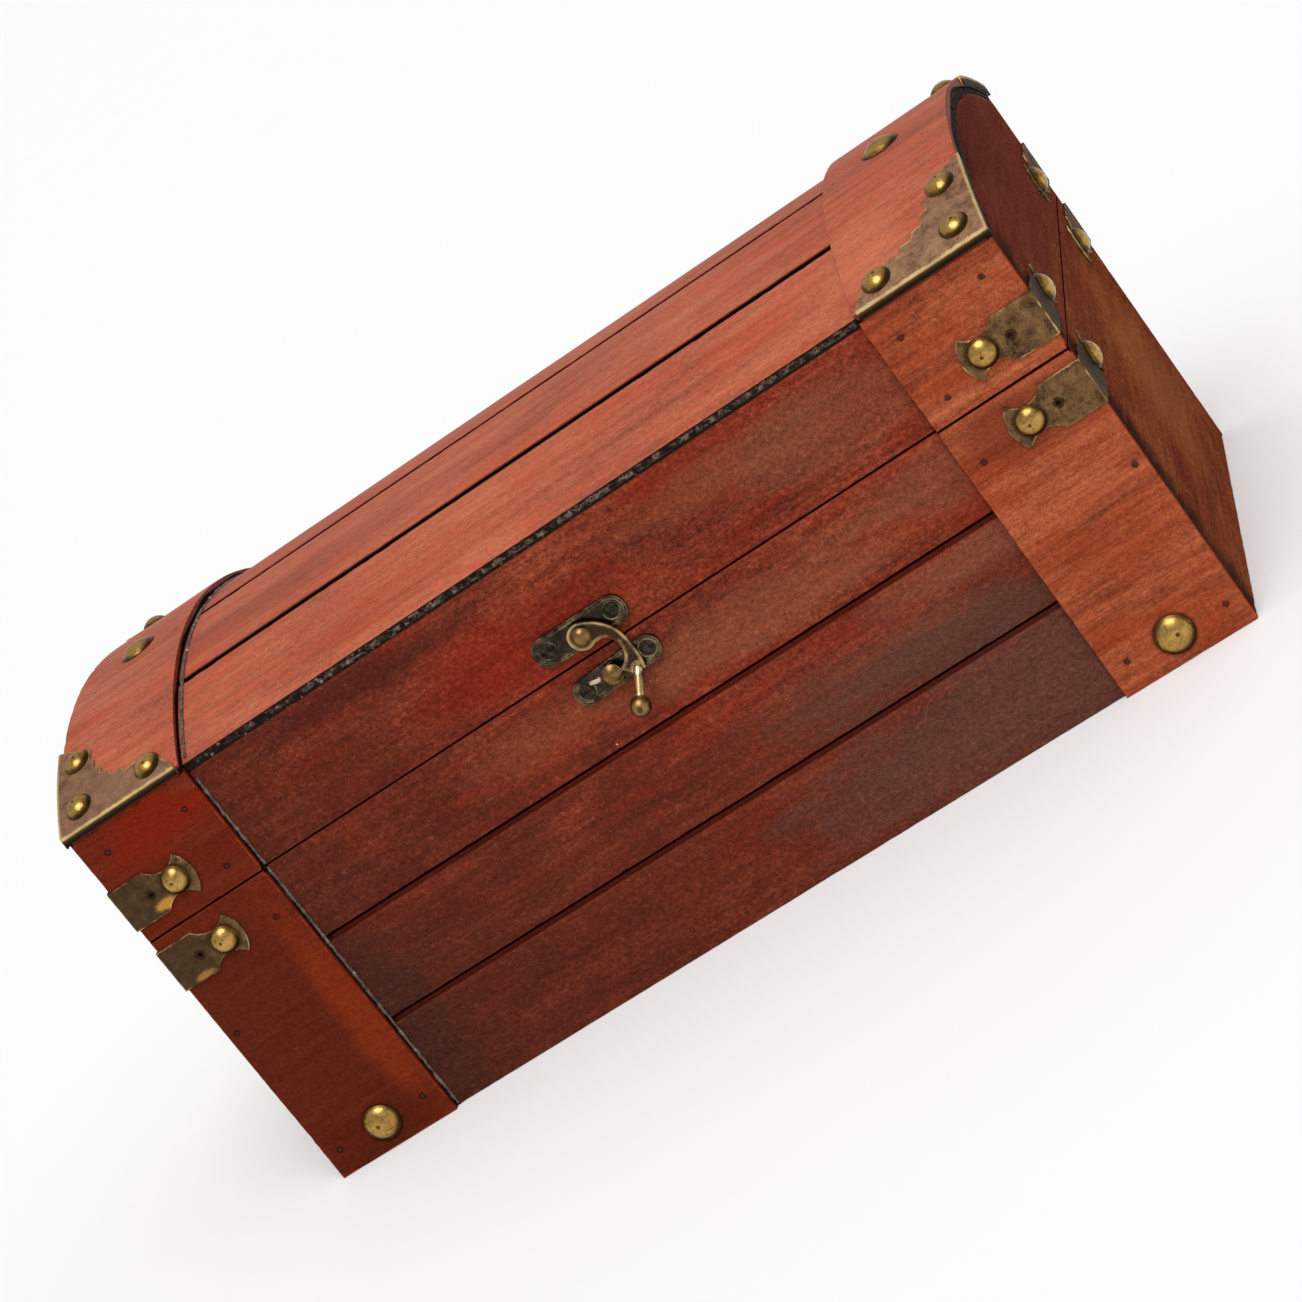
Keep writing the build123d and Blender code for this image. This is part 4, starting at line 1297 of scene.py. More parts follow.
@dataclass
class BodyBoards(Boards):
    """The body's walls, floor, end panels and corner battens."""

    lower_plank_height: float = 24.0
    middle_plank_height: float = 22.2
    groove: float = 1.6
    groove_floor: float = 57.6
    floor_thickness: float = 5.0
    floor_cell: float = 4.0
    step: float = 1.1

    def plank(self, base: float, top: float, tongue: bool, rebate: bool) -> Outline:
        """Draws the section of a plank of a long wall.

        Args:
            base: The lower edge of its face.
            top: The upper edge of its face.
            tongue: Whether it laps behind the plank above.
            rebate: Whether the plank below laps behind it.

        Returns:
            The section as depths and heights.
        """
        outline = [(self.plank_face, z) for z in spread(base, top, self.plank_cell)]
        if tongue:
            slot = top + self.groove - self.stain_and_shade_reach
            outline += [(self.groove_floor, top), (self.groove_floor, slot), (self.lap_y, slot)]
            high = top + self.groove + self.lap_length
            outline += [(self.lap_y, high), (self.inner_y, high)]
        else:
            outline += [(self.plank_face - self.stain_and_shade_reach, top), (self.inner_y, top)]
        if rebate:
            low = base + self.lap_length
            return outline + [(self.inner_y, low), (self.lap_y, low), (self.lap_y, base)]
        return outline + [(self.inner_y, base)]

    def build_walls(self) -> None:
        """Builds the three planks of each long wall."""
        middle_base = self.lower_plank_height + self.groove
        middle_top = middle_base + self.middle_plank_height
        planks = (
            ("lower", 0.0, self.lower_plank_height, True, False),
            ("middle", middle_base, middle_top, True, True),
            ("upper", middle_top + self.groove, self.seam_z, False, True),
        )
        for (wall, side), (name, *sizes) in product(WALLS, planks):
            self.wall_board(self.plank(*sizes), side, f"{wall}_plank_{name}")

    def build_ends(self) -> None:
        """Builds the two end panels."""
        for name, side in ENDS:
            inner, outer = sorted((side * self.inner_x, side * self.half_width))
            low, high = (inner, -self.plank_face, 0.0), (outer, self.plank_face, self.seam_z)
            self.end_board(Shape.block(low, high), side, f"end_panel_{name}")

    def build_floor(self) -> None:
        """Builds the floor panel."""
        high = (self.inner_x, self.inner_y, self.floor_thickness)
        shape = Shape.block((-self.inner_x, -self.inner_y, 0.0), high)
        shape.slice(0, self.floor_cell)
        shape.slice(1, self.floor_cell)
        up = Vector((0.0, 0.0, 1.0))
        self.finish_board(shape, "floor_panel", Finish.END, lambda _: 0.0, lambda _: up)

    def build_battens(self) -> None:
        """Builds the four corner battens."""
        for corner, side_x, side_y in CORNERS:
            xs = sorted((side_x * self.batten_edge, side_x * self.half_width))
            ys = sorted((side_y * self.plank_face, side_y * self.face_y))
            shape = Shape.block((xs[0], ys[0], 0.0), (xs[1], ys[1], self.seam_z))
            self.batten(shape, side_y, f"body_batten_{corner}")

    def build(self) -> None:
        """Builds every board of the body."""
        self.build_walls()
        self.build_ends()
        self.build_floor()
        self.build_battens()


@dataclass
class LidBoards(Boards):
    """The lid's walls, arched ends, curved planks and battens."""

    skin_groove: float = 1.4
    groove_shares: tuple[float, ...] = (-0.54, 0.0, 0.54)
    names: tuple[str, ...] = ("front", "front_crown", "back_crown", "back")
    groove_shade_width: float = 0.7
    overlong: float = 2.5
    skin_arris: float = 0.3
    top_arris: float = 0.32
    skin_chips: float = 0.3
    top_chips: float = 0.25
    top_cuts: int = 22
    end_arch_cell: float = 3.0
    skin_cell: float = 2.4
    top_cell: float = 1.6
    hidden_cell: float = 4.0
    plank_chips: float = 0.22
    end_spacing: float = 2.2
    end_facets: int = 2
    body: str = "lid"

    def __post_init__(self) -> None:
        """Works out the grooves' runs from the crown, measured at the skin, and the roof's underside."""
        super().__post_init__()
        self.grooves = [share * self.skin_end * self.skin_radius for share in self.groove_shares]
        self.roof = self.vault_radius - self.glue_line

    def radius_at(self, place: Vector) -> float:
        """Gives a point's distance from the arch's axis."""
        return math.hypot(place.y, place.z - self.arch_centre_z)

    def skin_depth(self, place: Vector) -> float:
        """Gives the depth of a point of the skin; its cut front, back and ends count as deep, and beside
        its grooves the depth rises for painted shade.

        Args:
            place: The point.

        Returns:
            The depth.
        """
        below = self.skin_radius - self.radius_at(place)
        if abs(place.y) > self.plank_face - CLOSE:
            return 9.0 * below
        if abs(place.x) > self.half_width - CLOSE:
            return 3.2 + below
        run = math.atan2(place.y, place.z - self.arch_centre_z) * self.skin_radius
        beside = min(abs(run - groove) for groove in self.grooves) - self.skin_groove / 2
        return max(6.0 * below, 3.6 * (1.0 - beside / self.groove_shade_width))

    def skin_crust(self, place: Vector) -> float:
        """Gives how far a point of the skin's cut front or back edge lies below the arris."""
        on_edge = abs(place.y) > self.plank_face - CLOSE
        return self.skin_radius - self.radius_at(place) if on_edge else 0.0

    def top_batten_depth(self, place: Vector) -> float:
        """Gives the depth of a point of a curved batten; its cut ends count as deep, and its inner edge
        too, for a painted shadow beside the skin.

        Args:
            place: The point.

        Returns:
            The depth.
        """
        below = self.arch_radius - self.radius_at(place)
        if abs(place.x) > self.half_width - CLOSE:
            return 1.6 + 1.4 * below
        return 4.5 * below if abs(place.x) < self.batten_edge + CLOSE else 1.4 * below

    def build_walls(self) -> None:
        """Builds the front and back planks, up to the underside of the skin."""
        top = self.arch_height(self.plank_face, self.roof)
        outline = [(self.plank_face, z) for z in spread(self.seam_z, top, self.plank_cell)]
        outline += [(y, self.arch_height(y, self.roof)) for y in (self.lap_y, self.inner_y)]
        outline += [(self.inner_y, self.seam_z), (self.plank_face - self.stain_and_shade_reach, self.seam_z)]
        for name, side in WALLS:
            self.wall_board(outline, side, f"lid_{name}_plank")

    def build_ends(self) -> None:
        """Builds the arched end panels."""
        face = self.plank_face
        outline = [(y, self.arch_height(y, self.roof)) for y in spread(-face, face, self.end_arch_cell)]
        outline += [(face, self.seam_z), (-face, self.seam_z)]
        for name, side in ENDS:
            start, outer = side * self.inner_x, side * self.half_width
            shape = Shape.extruded([(start, y, z) for y, z in outline], (outer - start, 0.0, 0.0))
            self.end_board(shape, side, f"lid_end_panel_{name}")

    def curved_board(self, outline: Outline, x_from: float, x_to: float, half_depth: float) -> Shape:
        """Bends a flat section over the arch and trims its two outer ends upright.

        Args:
            outline: The section as runs from the crown and radii.
            x_from: Where it starts along the width.
            x_to: Where it ends.
            half_depth: The distance from the middle at which it is trimmed.

        Returns:
            The board with square arrises.
        """
        section = [(x_from, run, radius) for run, radius in outline]
        shape = Shape.extruded(section, (x_to - x_from, 0.0, 0.0))
        for vert in shape.bm.verts:
            vert.co = self.bend(vert.co)
        for side in BOTH_SIDES:
            if max(vert.co.y * side for vert in shape.bm.verts) > half_depth + 0.001:
                shape.trim((0.0, side * half_depth, 0.0), (0.0, side, 0.0))
        bmesh.ops.recalc_face_normals(shape.bm, faces=shape.bm.faces)
        return shape

    def ease_top(self, shape: Shape, radius: float, width: float) -> None:
        """Rounds the arrises of a curved board's outer face, which lies at this radius."""
        shape.ease(shape.sharp_edges(35.0, lambda place: self.radius_at(place) > radius), width, 3)

    def build_skin(self) -> None:
        """Builds the four curved planks, lapped under the grooves between them."""
        middle = (self.skin_radius + self.vault_radius) / 2
        half_groove = self.skin_groove / 2
        edge = self.skin_end * self.skin_radius
        starts = [-edge - self.overlong] + [groove + half_groove for groove in self.grooves]
        ends = [groove - half_groove for groove in self.grooves] + [edge + self.overlong]
        for number, (name, start, end) in enumerate(zip(self.names, starts, ends)):
            low_start = start + self.lap_length if number else start
            lapped = number < len(self.grooves)
            low_end = end + 2 * half_groove + self.lap_length if lapped else end
            inner = spread(start + self.groove_shade_width, end - self.groove_shade_width, self.skin_cell)
            outline = [(run, self.skin_radius) for run in (start, *inner, end)]
            if lapped:
                outline += [(end, middle), (low_end, middle)]
            under = spread(low_end, low_start, self.skin_cell)
            outline += [(run, self.vault_radius) for run in under]
            if number:
                outline += [(low_start, middle), (start, middle)]
            shape = self.curved_board(outline, -self.half_width, self.half_width, self.plank_face)
            self.ease_top(shape, self.skin_radius - 0.05, self.skin_arris)
            shape.divide(0, round(2 * self.half_width / self.step))
            self.finish_board(
                shape, f"lid_top_plank_{name}", Finish.TOP, self.skin_depth,
                lambda place: Vector((0.0, -place.y, self.arch_centre_z - place.z)).normalized(),
                self.skin_chips, self.skin_crust,
            )

    def build_top_battens(self) -> None:
        """Builds the curved battens over the two ends."""
        low = self.skin_radius + self.glue_line
        edge = self.skin_radius * self.arch_end + 2.0
        outline = [(run, self.arch_radius) for run in spread(-edge, edge, self.top_cell)]
        outline += [(run, low) for run in spread(edge, -edge, self.hidden_cell)]
        for name, side in ENDS:
            start, end = side * self.batten_edge, side * self.half_width
            shape = self.curved_board(outline, start, end, self.face_y)
            self.ease_top(shape, self.arch_radius - 0.02, self.top_arris)
            shape.divide(0, self.top_cuts)
            node = f"lid_top_batten_{name}"
            self.finish_board(shape, node, Finish.TOP, self.top_batten_depth, None, self.top_chips)

    def build_battens(self) -> None:
        """Builds the four upright battens at the lid's corners."""
        roof = self.skin_radius - self.glue_line
        for corner, side_x, side_y in CORNERS:
            start, end = sorted((side_x * self.batten_edge, side_x * self.half_width))
            outer, inner = side_y * self.face_y, side_y * self.plank_face
            outline = [(outer, self.seam_z), (outer, self.arch_height(outer, roof))]
            outline += [(inner, self.arch_height(inner, roof)), (inner, self.seam_z)]
            shape = Shape.extruded([(start, y, z) for y, z in outline], (end - start, 0.0, 0.0))
            self.batten(shape, side_y, f"lid_batten_{corner}")

    def build(self) -> None:
        """Builds every board of the lid."""
        self.build_walls()
        self.build_ends()
        self.build_skin()
        self.build_top_battens()
        self.build_battens()


# Nails and pins


@dataclass(frozen=True)
class Seat:
    """Where a fastener sits, and the way it faces."""

    place: Point
    outward: Point

    def matrix(self, turn: float) -> Matrix:
        """Gives the move from the frame of a fastener, turned about its own axis, to the box's."""
        aim = Vector(self.outward).to_track_quat("Z", "Y").to_matrix().to_4x4()
        return Matrix.Translation(self.place) @ aim @ Matrix.Rotation(turn, 4, "Z")


@dataclass
class Fasteners(Boards):
    """The dome nails and the headless pins."""

    plate: float = 0.6
    nail_size: tuple[float, float] = (3.4, 2.0)
    large_nail_size: tuple[float, float] = (4.4, 2.0)
    bracket_nails: tuple[tuple[float, float], ...] = ((5.5, 5.5), (24.5, 4.5), (5.2, 20.6))
    top_pins: tuple[tuple[float, float], ...] = (
        (0.09, -0.12), (0.80, -0.22), (0.10, 0.45), (0.86, 0.52)
    )
    pin_radius: float = 0.5
    pin_depth: float = 0.3
    pin_sink: float = 0.14
    head_rings: int = 13
    head_facets: int = 36
    head_edge: float = 0.1
    head_inset: float = 0.12
    pit_depth: float = 0.28
    pit_place_share: float = 0.16
    pit_radius_share: float = 0.24
    wobble: float = 0.02
    # The way down, towards which the painted shade on each head grows.
    shade_from: Point = (0.35, 0.15, -1.0)

    def dome(self, shape: Shape, seat: Seat, radius: float, height: float, seed: float) -> None:
        """Adds a dome head with a small struck pit near its middle, and stores a painted shade that
        darkens it towards its edge and its lower side.

        Args:
            shape: The shape that it is added to.
            seat: Where it sits.
            radius: The radius of its head.
            height: The height of its head.
            seed: Sets it apart from the other heads.
        """
        head = Shape()
        bm = head.bm
        ball = (radius**2 + height**2) / (2 * height)
        rings = spread(0.0, radius - self.head_inset / 2, radius / self.head_rings)
        outline = [(run, 0.0, height - ball + math.sqrt(ball**2 - run**2)) for run in rings]
        outline += [(radius, 0.0, self.head_edge), (radius - self.head_inset, 0.0, 0.0), (0.0, 0.0, 0.0)]
        verts = [bm.verts.new(point) for point in outline]
        edges = [bm.edges.new(pair) for pair in zip(verts, verts[1:])]
        bmesh.ops.spin(
            bm, geom=verts + edges, cent=(0, 0, 0), axis=(0, 0, 1), angle=2 * math.pi,
            steps=self.head_facets, use_merge=True,
        )
        bmesh.ops.remove_doubles(bm, verts=bm.verts, dist=0.001)
        bmesh.ops.recalc_face_normals(bm, faces=bm.faces)
        rim, sunk, dome_shade = (bm.verts.layers.float.new(name) for name in ("rim", "sunk", "dome_shade"))
        turned = seat.matrix(seed * 6.0)
        below = turned.to_3x3().inverted() @ Vector(self.shade_from)
        below.z = 0.0
        if below.length > 0.01:
            below.normalize()
        aside = Vector((math.cos(seed * 9.0), math.sin(seed * 9.0), 0.0))
        pit = aside * self.pit_place_share * radius
        for vert in bm.verts:
            flat = Vector((vert.co.x, vert.co.y, 0.0))
            vert[rim] = radius - flat.length
            reach = flat.length / radius
            # Painted shade: darker towards the edge and most on the side that faces down.
            vert[dome_shade] = reach**2 * (0.3 + 0.9 * flat.dot(below) / radius)
            if vert.co.z > 0.3:
                away = (flat - pit).length / (self.pit_radius_share * radius)
                deep = max(0.0, 1.0 - away) ** 1.5
                vert[sunk] = deep * 0.35
                uneven = noise.noise(vert.co / 1.5 + Vector((seed * 40.0, 0.0, 0.0)))
                vert.co.z += self.wobble * uneven - self.pit_depth * deep - self.wobble
        bmesh.ops.transform(bm, matrix=turned, verts=bm.verts)
        made = head.mesh("head")
        shape.bm.from_mesh(made)
        bpy.data.meshes.remove(made)

    def arch_seat(self, x: float, radius: float, angle: float) -> Seat:
        """Gives a seat on the arch at an angle from upright."""
        outward = (0.0, math.sin(angle), math.cos(angle))
        return Seat((x, radius * outward[1], self.arch_centre_z + radius * outward[2]), outward)

    def strap_seats(self, height: float) -> list[Seat]:
        """Gives the seats of the eight strap nails at one height."""
        face, end = self.face_y + self.plate, self.half_width + self.plate
        return [
            seat for side_x, side_y in product(BOTH_SIDES, BOTH_SIDES) for seat in (
                Seat((side_x * STRAP_NAIL_X, side_y * face, height), (0, side_y, 0)),
                Seat((side_x * end, side_y * STRAP_NAIL_Y, height), (side_x, 0, 0)),
            )
        ]

    def bracket_seats(self) -> list[Seat]:
        """Gives the seats of the three nails of each bracket."""
        radius = self.arch_radius + self.glue_line + self.plate
        return [
            self.arch_seat(
                x * (self.half_width - inset), radius, y * (self.arch_end - run / self.arch_radius)
            )
            for x, y, (inset, run) in product(BOTH_SIDES, BOTH_SIDES, self.bracket_nails)
        ]

    def face_seats(self, places: Outline) -> list[Seat]:
        """Gives the seats at these widths and heights on all four upright battens."""
        return [
            Seat((side_x * x, side_y * self.face_y, z), (0, side_y, 0))
            for (x, z), side_x, side_y in product(places, BOTH_SIDES, BOTH_SIDES)
        ]

    def build_nails(self) -> None:
        """Builds all dome nails as one piece for each CAD node."""
        slope = math.asin(CROWN_NAIL_Y / self.arch_radius)
        crown = [self.arch_seat(side * CROWN_NAIL_X, self.arch_radius, slope) for side in BOTH_SIDES]
        foot = self.face_seats([(FOOT_NAIL_X, FOOT_NAIL_Z)])
        below, above = map(self.strap_seats, STRAP_HEIGHTS)
        for node, body, small, large in (
            ("body_strap_nails", "box_body", below, []),
            ("foot_nails", "box_body", [], foot),
            ("lid_dome_nails", "lid", above + self.bracket_seats(), crown),
        ):
            shape = Shape()
            heads = [(seat, self.nail_size) for seat in small]
            heads += [(seat, self.large_nail_size) for seat in large]
            for number, (seat, size) in enumerate(heads):
                self.dome(shape, seat, *size, (number * GOLDEN + 0.2) % 1.0)
            shape.piece(f"{node}_heads", body, (Finish.NAIL,), (node,))

    def build_pins(self) -> None:
        """Builds the low ends of the headless pins."""
        arched = [
            self.arch_seat(
                side * (BATTEN_EDGE + across * BATTEN_WIDTH), self.arch_radius, share * self.arch_end
            )
            for (across, share), side in product(self.top_pins, BOTH_SIDES)
        ]
        for node, body, seats in (
            ("body_brads", "box_body", self.face_seats(BODY_PINS)),
            ("lid_brads", "lid", self.face_seats(LID_PINS) + arched),
        ):
            shape = Shape()
            for number, seat in enumerate(seats):
                place = seat.matrix(number * 0.7) @ Matrix.Translation((0.0, 0.0, -self.pin_sink))
                bmesh.ops.create_cone(
                    shape.bm, cap_ends=True, segments=10, radius1=self.pin_radius,
                    radius2=self.pin_radius * 0.7, depth=self.pin_depth, matrix=place,
                )
            shape.ease(shape.sharp_edges(30.0), 0.08)
            shape.piece(f"{node}_ends", body, (Finish.PIN,), (node,))

    def build(self) -> None:
        """Builds nails and pins."""
        self.build_nails()
        self.build_pins()


# Brass plates


@dataclass
class Plate:
    """A metal part that keeps its CAD shape and gets rounded, dented and rubbed edges."""

    node: str
    body: str
    finish: Finish
    round_width: float = 0.16
    cell: float = 0.6
    dents: float = 0.05
    jagged: float = 0.0
    dish_depth: float = 0.0
    dish_border: float = 0.8
    dish_face: float = 0.0
    folds: tuple[tuple[Point, Point], ...] = ()
    holes: tuple[Point, ...] = ()
    sharp: float = 34.0
    dent_size: float = 3.1
    notch_size: float = 1.1
    jagged_width: float = 0.7
    hole_reach: float = 1.1

    def off_holes(self, place: Vector) -> bool:
        """Tells whether a point lies clear of the spare holes, whose edges stay dark."""
        return all((place - Vector(hole)).length > self.hole_reach for hole in self.holes)

    def fold_height(self, _: Vector) -> float:
        """Gives how far a point lies above the lower part of a lip, for parts that have one."""
        return AWAY_FROM_EDGES

    def dish(self, place: Vector, rim: float) -> float:
        """Gives how far a point is pushed in by the dish in the part's front face.

        Args:
            place: The point.
            rim: Its distance from the nearest edge.

        Returns:
            The depth, 0 off that face.
        """
        if not self.dish_depth or abs(place.y - self.dish_face) >= 0.03:
            return 0.0
        share = (rim - 0.35 * self.dish_border) / (0.65 * self.dish_border)
        share = min(1.0, max(0.0, share))
        return self.dish_depth * share * share * (3.0 - 2.0 * share)

    def build(self) -> None:
        """Builds the piece from a merged copy of its node's mesh."""
        shape = Shape.of_node(self.node)
        seed = sum(map(ord, self.node)) % 97
        shape.ease(shape.sharp_edges(self.sharp), self.round_width, 2, self.off_holes)
        if self.cell:
            for axis in range(3):
                shape.slice(axis, self.cell)
        for start, end in self.folds:
            shape.mark_rim(Vector(start), Vector(end))
        shape.bm.normal_update()
        shift = Vector((seed, seed * 0.37, 0.0))
        distances = shape.rim_distances()
        sunk = []
        steps = []
        for vert, rim in zip(shape.bm.verts, distances):
            wave = hills(vert.co / self.dent_size + shift)
            rough = hills(vert.co / self.notch_size + shift)
            near = max(0.0, 1.0 - rim / self.jagged_width)
            depth = self.dish(vert.co, rim)
            step = vert.normal * -(self.dents * wave + self.jagged * rough * near)
            steps.append(step + Vector((0.0, depth, 0.0)))
            # Round the spare holes the plate counts as sunk, for painted shade in the holes.
            sunk.append(depth * 0.5 if self.off_holes(vert.co) else 0.4)
        folds = [self.fold_height(vert.co) for vert in shape.bm.verts]
        shape.step(steps)
        shape.store("rim", distances)
        shape.store("sunk", sunk)
        shape.store("fold", folds)
        shape.piece(f"{self.node}_metal", self.body, (self.finish,), (self.node,))


@dataclass
class Bracket(Plate):
    """A lid corner's bracket, with a bright fold over a dark lip."""

    radius: float = 136.21
    centre_z: float = -20.56
    face_y: float = PLATE_FACE
    end_x: float = PLATE_END
    band: float = 1.3
    shell: float = 0.45

    def fold_height(self, place: Vector) -> float:
        """Gives how far a point lies above the lower part of the lip.

        Args:
            place: The point.

        Returns:
            0 where the lip's dark part begins, less below it, and the fold's own band above it.
        """
        fold = self.centre_z + math.sqrt(self.radius**2 - self.face_y**2)
        above = [AWAY_FROM_EDGES]
        if abs(place.y) > self.face_y - self.shell:
            above.append(self.band - (fold - place.z))
        if abs(place.x) > self.end_x - self.shell:
            above.append(self.band - (self.radius - math.hypot(place.y, place.z - self.centre_z)))
        above.append(self.band - 0.4 + max(0.0, self.end_x - 0.25 - abs(place.x)))
        return min(above)


@dataclass
class Trim:
    """The straps and brackets at the corners."""

    corner_x: float = 120.45
    corner_y: float = 61.45
    front_hole: float = 8.45
    end_hole: float = 10.75
    half_height: float = 5.5

    def build(self) -> None:
        """Builds the eight straps, each with its fold and two spare holes, and the four brackets."""
        for corner, side_x, side_y in CORNERS:
            x, y = side_x * self.corner_x, side_y * self.corner_y
            for part, body, z in zip(("body", "lid"), ("box_body", "lid"), STRAP_HEIGHTS):
                fold = ((x, y, z - self.half_height), (x, y, z + self.half_height))
                holes = ((x - side_x * self.front_hole, y, z), (x, y - side_y * self.end_hole, z))
                node = f"{part}_strap_{corner}"
                Plate(node, body, Finish.PLATE, jagged=0.22, folds=(fold,), holes=holes).build()
            node = f"lid_bracket_{corner}"
            Bracket(node, "lid", Finish.BRACKET, jagged=0.12, cell=0.55).build()


@dataclass
class SwingLatch:
    """The latch on the lid and its keeper on the body."""

    blade_front: float = -61.4
    dish_depth: float = 0.3

    def build(self) -> None:
        """Builds the plates, the arm, the rivet, the post and the screws."""
        for part in (
            Plate("latch_plate", "lid", Finish.LATCH, 0.38, 0.3, 0.02),
            Plate("keeper_plate", "box_body", Finish.LATCH, 0.38, 0.3, 0.02),
            Plate(
                "latch_arm", "latch_arm", Finish.ARM, 0.2, 0.35, 0.02, dish_depth=self.dish_depth,
                dish_face=self.blade_front,
            ),
            Plate("latch_rivet", "lid", Finish.BRIGHT, 0.1, 0.5, 0.03),
            Plate("keeper_post", "box_body", Finish.BRIGHT, 0.1, 0.5, 0.03),
            Plate("latch_plate_screws", "lid", Finish.SCREW, 0.06, 0.6, 0.02),
            Plate("keeper_screws", "box_body", Finish.SCREW, 0.06, 0.6, 0.02),
        ):
            part.build()


@dataclass
class ButtHinges:
    """The two hinges on the back."""

    leaf_round: float = 0.15
    leaf_cell: float = 0.9
    pin_round: float = 0.1
    screw_round: float = 0.06
    dents: float = 0.02

    def build(self) -> None:
        """Builds the leaves, the pins and the screws; pins and screws stay uncut."""
        leaf = (Finish.HINGE, self.leaf_round, self.leaf_cell, self.dents)
        screws = (Finish.HINGE, self.screw_round, 0.0, self.dents)
        for name, _ in ENDS:
            Plate(f"hinge_body_leaf_{name}", "box_body", *leaf).build()
            Plate(f"hinge_lid_leaf_{name}", "lid", *leaf).build()
        Plate("hinge_pins", "box_body", Finish.HINGE, self.pin_round, 0.0, self.dents).build()
        Plate("hinge_body_screws", "box_body", *screws).build()
        Plate("hinge_lid_screws", "lid", *screws).build()


# Glue


@dataclass
class GlueLines(Boards):
    """Dried glue beside the left battens and along the left curved batten."""

    radius: float = 0.42
    spacing: float = 0.8
    top: float = 95.0
    small_lump: float = 1.3
    large_lump: float = 5.0

    def bead(self, name: str, body: str, path: Sequence[Point], radius: float, seed: float) -> None:
        """Lays a lumpy bead along a path.

        Args:
            name: The piece's name.
            body: The body that it moves with.
            path: The points of its middle line.
            radius: Its mean radius.
            seed: Sets it apart from the other beads.
        """
        shape = Shape()
        ring = bmesh.ops.create_circle(shape.bm, segments=7, radius=radius)["verts"]
        way = (Vector(path[1]) - Vector(path[0])).to_track_quat("Z", "Y").to_matrix().to_4x4()
        bmesh.ops.transform(shape.bm, matrix=Matrix.Translation(path[0]) @ way, verts=ring)
        bmesh.ops.contextual_create(shape.bm, geom=shape.bm.edges[:])
        edges = shape.bm.edges[:]
        for start, end in zip(path, path[1:]):
            pushed = bmesh.ops.extrude_edge_only(shape.bm, edges=edges)["geom"]
            edges = only(bmesh.types.BMEdge, pushed)
            verts = only(bmesh.types.BMVert, pushed)
            bmesh.ops.translate(shape.bm, vec=Vector(end) - Vector(start), verts=verts)
        bmesh.ops.contextual_create(shape.bm, geom=edges)
        bmesh.ops.recalc_face_normals(shape.bm, faces=shape.bm.faces)
        shape.bm.normal_update()
        shift = Vector((seed * 30.0, seed * 17.0, 0.0))
        for vert in shape.bm.verts:
            at = vert.co + shift
            lump = noise.noise(at / self.small_lump) + 0.6 * noise.noise(at / self.large_lump)
            vert.co += vert.normal * lump * radius * 0.7
        shape.piece(name, body, (Finish.GLUE,))

    def build(self) -> None:
        """Builds the beads that the box shows."""
        x, y = -self.batten_edge + 0.5, -self.plank_face - 0.2
        upright = [(x, y, z) for z in spread(0.6, self.seam_z - 0.5, self.spacing)]
        self.bead("glue_left_batten", "box_body", upright, self.radius, 0.1)
        upper = [(x, y, z) for z in spread(self.seam_z + 0.5, self.top, self.spacing)]
        self.bead("glue_left_lid_batten", "lid", upper, self.radius, 0.3)
        edge = self.skin_radius * (self.skin_end - 0.01)
        over = self.skin_radius + 0.15
        runs = spread(-edge, edge, self.spacing)
        arch = [tuple(self.bend(Vector((x + 0.5, run, over)))) for run in runs]
        self.bead("glue_left_top_batten", "lid", arch, self.radius * 0.9, 0.5)


# Studio


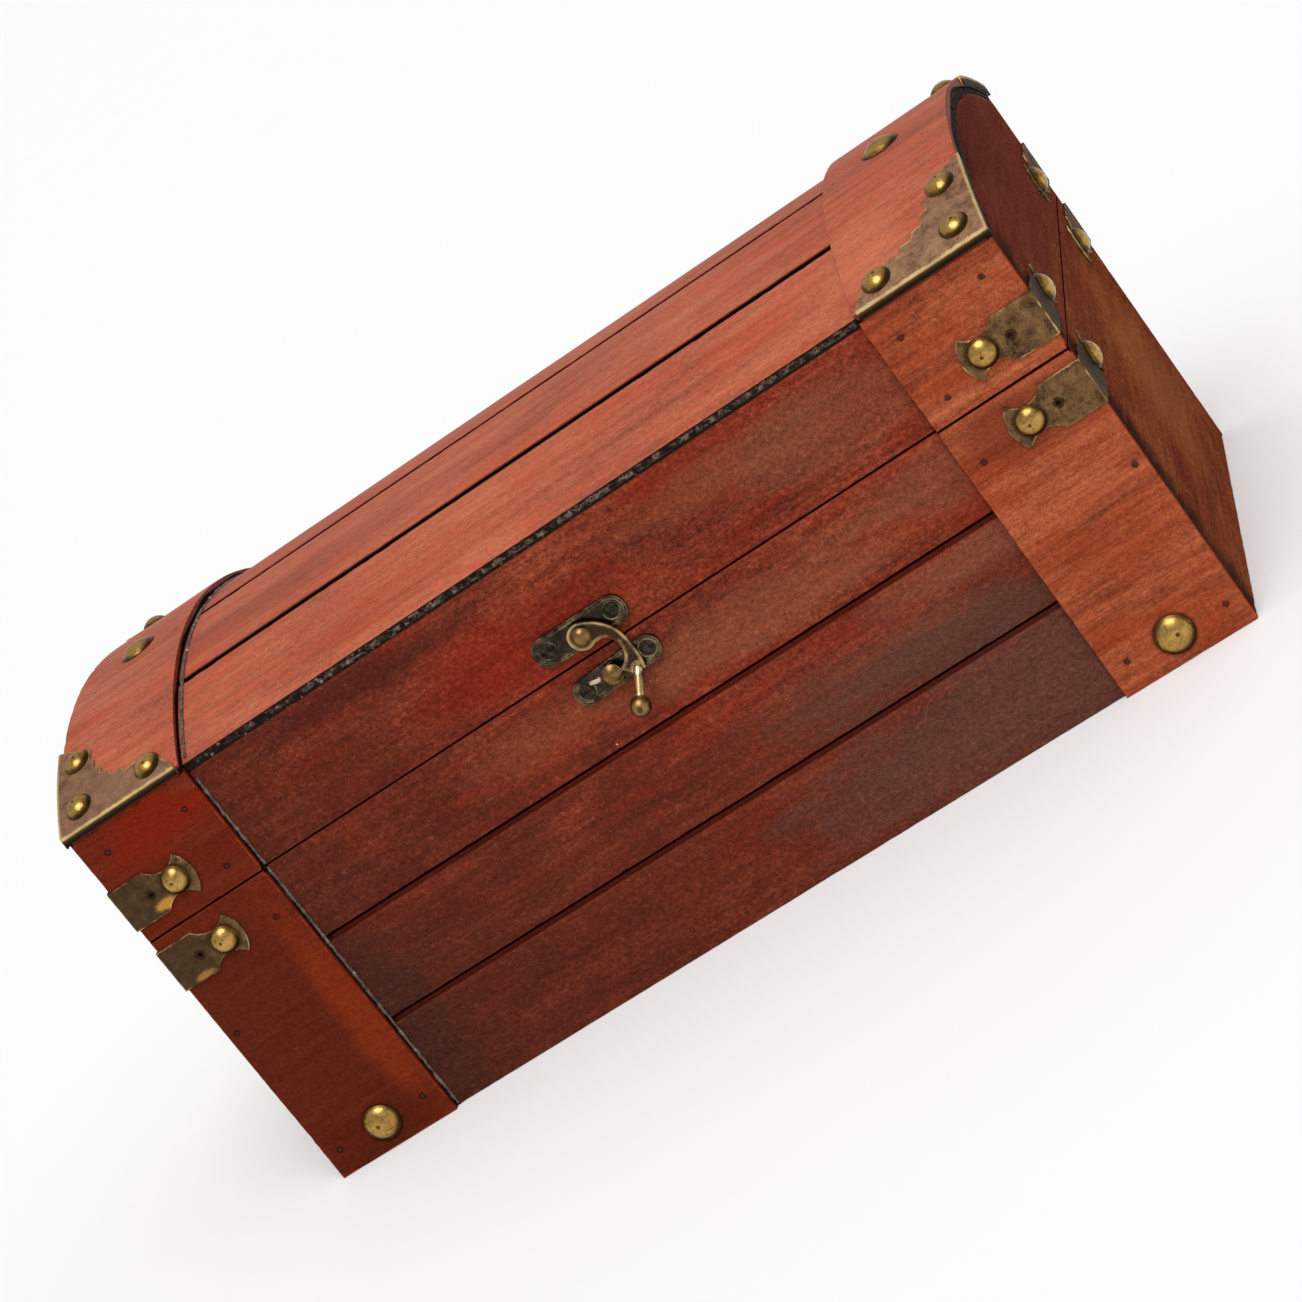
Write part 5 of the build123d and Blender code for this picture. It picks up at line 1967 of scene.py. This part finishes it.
@dataclass
class Studio:
    """The floor, the soft light and the camera at the photo's angle."""

    lens: float = 101.86
    sensor: float = 36.0
    eye: Point = (0.226634, -0.775491, 0.261193)
    right: Point = (0.80725401, 0.08175358, -0.58451459)
    down: Point = (-0.52041113, -0.36857808, -0.77027427)
    ahead: Point = (-0.27841194, 0.92599490, -0.25499066)
    sun_direction: Point = (0.12, -0.5, 0.86)
    sun_strength: float = 1.9
    sun_angle: float = 40.0
    sky_strength: float = 0.55
    floor_size: float = 60.0
    floor_whites: tuple[Colour, Colour] = (tint(246, 246, 246), tint(248, 248, 248))

    def build_floor(self) -> None:
        """Builds the pale floor."""
        material, graph = new_graph("studio_floor")
        cloudy = graph.cloud(graph.place(), (90.0, 90.0, 90.0), 2.0)
        colour = graph.blend(cloudy, *self.floor_whites)
        graph.surface({"Base Color": colour, "Roughness": 0.9})
        shape = Shape()
        bmesh.ops.create_grid(shape.bm, x_segments=2, y_segments=2, size=self.floor_size / 2)
        mesh = shape.mesh("studio_floor")
        mesh.materials.append(material)
        floor = shown("studio_floor", mesh)
        floor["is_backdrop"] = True

    def build_light(self) -> None:
        """Builds a wide sun from above the front, and an even sky."""
        lamp = bpy.data.lights.new("soft_sun", "SUN")
        lamp.energy = self.sun_strength
        lamp.angle = math.radians(self.sun_angle)
        sun = shown("soft_sun", lamp)
        sun.rotation_euler = Vector(self.sun_direction).to_track_quat("Z", "Y").to_euler()
        world = bpy.data.worlds.new("studio_sky")
        world.use_nodes = True
        graph = Graph(world.node_tree)
        sockets = {"Color": (1.0, 1.0, 1.0, 1.0), "Strength": self.sky_strength}
        sky = graph.add("ShaderNodeBackground", None, sockets)
        graph.add("ShaderNodeOutputWorld", None, {"Surface": sky})
        bpy.context.scene.world = world

    def build_camera(self) -> None:
        """Places the camera where the photo was taken from."""
        data = bpy.data.cameras.new("photo_camera")
        data.lens = self.lens
        data.sensor_width = self.sensor
        data.clip_start, data.clip_end = 0.01, 200.0
        camera = shown("photo_camera", data)
        columns = [Vector(self.right), -Vector(self.down), -Vector(self.ahead)]
        camera.matrix_world = Matrix.Translation(self.eye) @ Matrix(columns).transposed().to_4x4()
        bpy.context.scene.camera = camera

    def build(self) -> None:
        """Builds floor, light and camera."""
        self.build_floor()
        self.build_light()
        self.build_camera()
        bpy.context.scene.view_settings.view_transform = "Standard"


def note_sizes() -> None:
    """Gathers the CAD box and the dressed model's box as plain lists."""
    boxes = {"cad": cad_box, "visual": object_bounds()}
    plain = {name: [list(map(float, corner)) for corner in corners] for name, corners in boxes.items()}


def main() -> None:
    """Builds the sub-assemblies in order and reports them."""
    logging.basicConfig(level=logging.INFO, format="%(message)s", stream=sys.stdout, force=True)
    assemblies = (
        Studio(), BodyBoards(), LidBoards(), Fasteners(), Trim(), SwingLatch(), ButtHinges(), GlueLines()
    )
    for assembly in assemblies:
        assembly.build()
        log.info("%s done", type(assembly).__name__)
    note_sizes()


if __name__ == "__main__":
    main()
